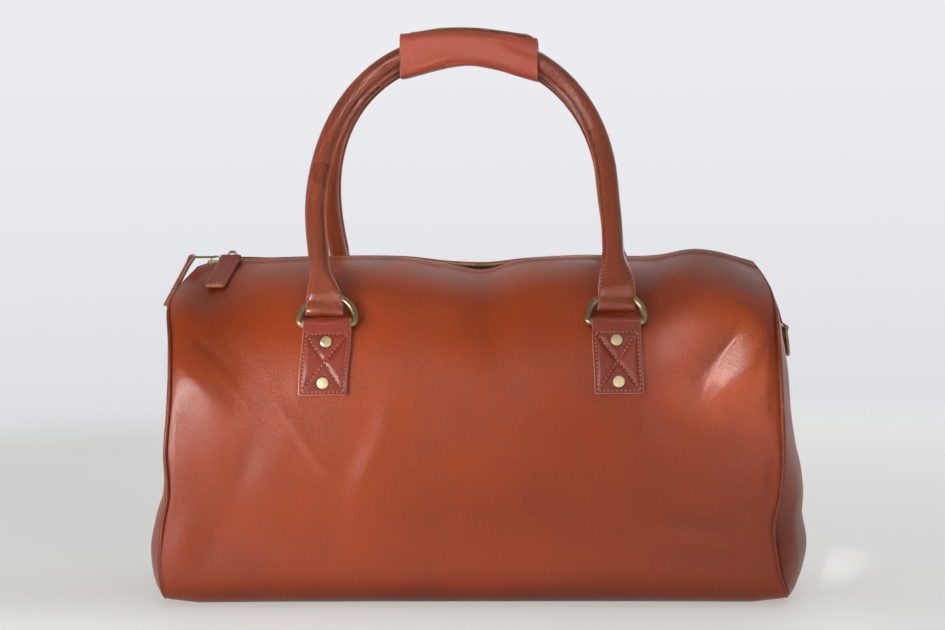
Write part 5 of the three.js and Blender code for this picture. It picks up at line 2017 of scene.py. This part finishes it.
class HOLDALL_OT_stage(bpy.types.Operator):
    """Set the pale floor, the studio lights and the camera"""

    bl_idname = "holdall.stage"
    bl_label = "Studio"

    def execute(self, context):
        self.make_floor(context)
        self.make_world(context)
        self.make_lights(context)
        self.make_camera(context)
        context.scene.view_settings.view_transform = "Standard"
        return {"FINISHED"}

    def make_floor(self, context):
        """A round floor of matt studio paper, pale and even, that fades out before its rim."""
        mesh = bpy.data.meshes.new("studio_floor")
        angle = turns(FLOOR["sides"])
        rim = FLOOR["radius"] * np.column_stack([np.cos(angle), np.sin(angle), 0 * angle])
        mesh.from_pydata(rim.tolist(), [], [list(range(len(rim)))])
        floor = bpy.data.objects.new("studio_floor", mesh)
        context.scene.collection.objects.link(floor)
        material, tree, where = new_finish("matt_studio_paper")
        far = node(tree, "ShaderNodeVectorMath", {0: where}, operation="LENGTH")
        fade = node(
            tree,
            "ShaderNodeMapRange",
            {"Value": far.outputs["Value"], "From Min": FLOOR["fade"][0], "From Max": FLOOR["fade"][1]},
            interpolation_type="SMOOTHSTEP",
        )
        paper = node(
            tree,
            "ShaderNodeBsdfPrincipled",
            {
                "Base Color": (*colour("floor"), 1),
                "Roughness": 0.7,
                "Emission Color": (*colour("floor"), 1),
                "Emission Strength": FLOOR["glow"],
            },
        )
        clear = node(tree, "ShaderNodeBsdfTransparent")
        both = node(
            tree,
            "ShaderNodeMixShader",
            {0: fade.outputs["Result"], 1: paper.outputs["BSDF"], 2: clear.outputs["BSDF"]},
        )
        node(tree, "ShaderNodeOutputMaterial", {"Surface": both.outputs["Shader"]})
        mesh.materials.append(material)

    def make_world(self, context):
        """An even pale backdrop to the eye, and a dimmer room to the leather."""
        world = bpy.data.worlds.new("studio")
        world.use_nodes = True
        tree = world.node_tree
        tree.nodes.clear()
        way = node(tree, "ShaderNodeTexCoord").outputs["Generated"]
        height = node(tree, "ShaderNodeSeparateXYZ", {"Vector": way}).outputs["Z"]
        low, high = BACKDROP["heights"]
        level = node(tree, "ShaderNodeMapRange", {"Value": height, "From Min": low, "From Max": high})
        sweep = node(
            tree,
            "ShaderNodeValToRGB",
            {"Fac": level.outputs["Result"]},
            stops=[(place, toned(colour("backdrop"), share)) for place, share in BACKDROP["tones"]],
        )
        seen = node(tree, "ShaderNodeBackground", {"Color": sweep.outputs["Color"], "Strength": 1})
        lit = node(tree, "ShaderNodeBackground", {"Strength": 0})
        for aim, strength in ROOM_GLOWS:
            facing = node(
                tree,
                "ShaderNodeVectorMath",
                {0: way, 1: unit(np.array(aim, float))},
                operation="DOT_PRODUCT",
            )
            bright = node(
                tree, "ShaderNodeMapRange", {"Value": facing.outputs["Value"], "To Max": strength}
            )
            glow = node(tree, "ShaderNodeBackground", {"Strength": bright.outputs["Result"]})
            lit = node(tree, "ShaderNodeAddShader", {0: lit.outputs[0], 1: glow.outputs[0]})
        eye = node(tree, "ShaderNodeLightPath").outputs["Is Camera Ray"]
        both = node(
            tree, "ShaderNodeMixShader", {0: eye, 1: lit.outputs["Shader"], 2: seen.outputs["Background"]}
        )
        node(tree, "ShaderNodeOutputWorld", {"Surface": both.outputs["Shader"]})
        context.scene.world = world

    def make_lights(self, context):
        """The softboxes."""
        for name, place, aim, wide, high, watts, spread in SOFTBOXES:
            light = bpy.data.lights.new(name, "AREA")
            light.shape = "RECTANGLE"
            light.size = wide
            light.size_y = high
            light.energy = watts
            light.spread = math.radians(spread)
            lamp = bpy.data.objects.new(name, light)
            back = unit(np.array(place, float) - np.array(aim, float))
            right = unit(np.cross((0, 0, 1.0), back))
            turn = np.column_stack([right, np.cross(back, right), back])
            lamp.matrix_world = Matrix.Translation(place) @ Matrix(turn.tolist()).to_4x4()
            context.scene.collection.objects.link(lamp)

    def make_camera(self, context):
        """The camera at the picture's angle."""
        right = np.array([math.cos(CAMERA_TURN), math.sin(CAMERA_TURN), 0])
        level = np.array([-math.sin(CAMERA_TURN), math.cos(CAMERA_TURN), 0])
        ahead = level * math.cos(CAMERA_TILT) - np.array([0, 0, math.sin(CAMERA_TILT)])
        up = level * math.sin(CAMERA_TILT) + np.array([0, 0, math.cos(CAMERA_TILT)])
        place = -level * CAMERA_DISTANCE + np.array([0, 0, CAMERA_HEIGHT]) + right * CAMERA_SIDE
        rolled_right = right * math.cos(CAMERA_ROLL) - up * math.sin(CAMERA_ROLL)
        rolled_up = up * math.cos(CAMERA_ROLL) + right * math.sin(CAMERA_ROLL)
        lens = bpy.data.cameras.new("camera")
        lens.sensor_width = SENSOR_MM
        lens.lens = FOCAL_PIXELS / PICTURE_WIDTH * SENSOR_MM
        camera = bpy.data.objects.new("camera", lens)
        turn = np.column_stack([rolled_right, rolled_up, -ahead])
        camera.matrix_world = Matrix.Translation(place) @ Matrix(turn.tolist()).to_4x4()
        context.scene.collection.objects.link(camera)
        context.scene.camera = camera


OPERATORS = (
    HOLDALL_OT_stage,
    HOLDALL_OT_wrap,
    HOLDALL_OT_end_panels,
    HOLDALL_OT_piping,
    HOLDALL_OT_zip,
    HOLDALL_OT_sliders,
    HOLDALL_OT_tabs,
    HOLDALL_OT_rings,
    HOLDALL_OT_handles,
    HOLDALL_OT_grip,
    HOLDALL_OT_end_rings,
)


class HOLDALL_PT_panel(bpy.types.Panel):
    """Sizes, colours and pieces of the holdall"""

    bl_label = "Leather Holdall"
    bl_idname = "HOLDALL_PT_panel"
    bl_space_type = "VIEW_3D"
    bl_region_type = "UI"
    bl_category = "Holdall"

    def draw(self, context):
        for group in (context.scene.holdall_sizes, context.scene.holdall_colours):
            box = self.layout.box()
            for name in type(group).__annotations__:
                box.prop(group, name)
        for operator in OPERATORS:
            self.layout.operator(operator.bl_idname)


CLASSES = (HoldallSizes, HoldallColours, *OPERATORS, HOLDALL_PT_panel)


def register():
    for item in CLASSES:
        bpy.utils.register_class(item)
    bpy.types.Scene.holdall_sizes = bpy.props.PointerProperty(type=HoldallSizes)
    bpy.types.Scene.holdall_colours = bpy.props.PointerProperty(type=HoldallColours)


def unregister():
    del bpy.types.Scene.holdall_colours
    del bpy.types.Scene.holdall_sizes
    for item in reversed(CLASSES):
        bpy.utils.unregister_class(item)


def main():
    register()
    for operator in OPERATORS:
        getattr(bpy.ops.holdall, operator.bl_idname.split(".")[1])()


if __name__ == "__main__":
    main()
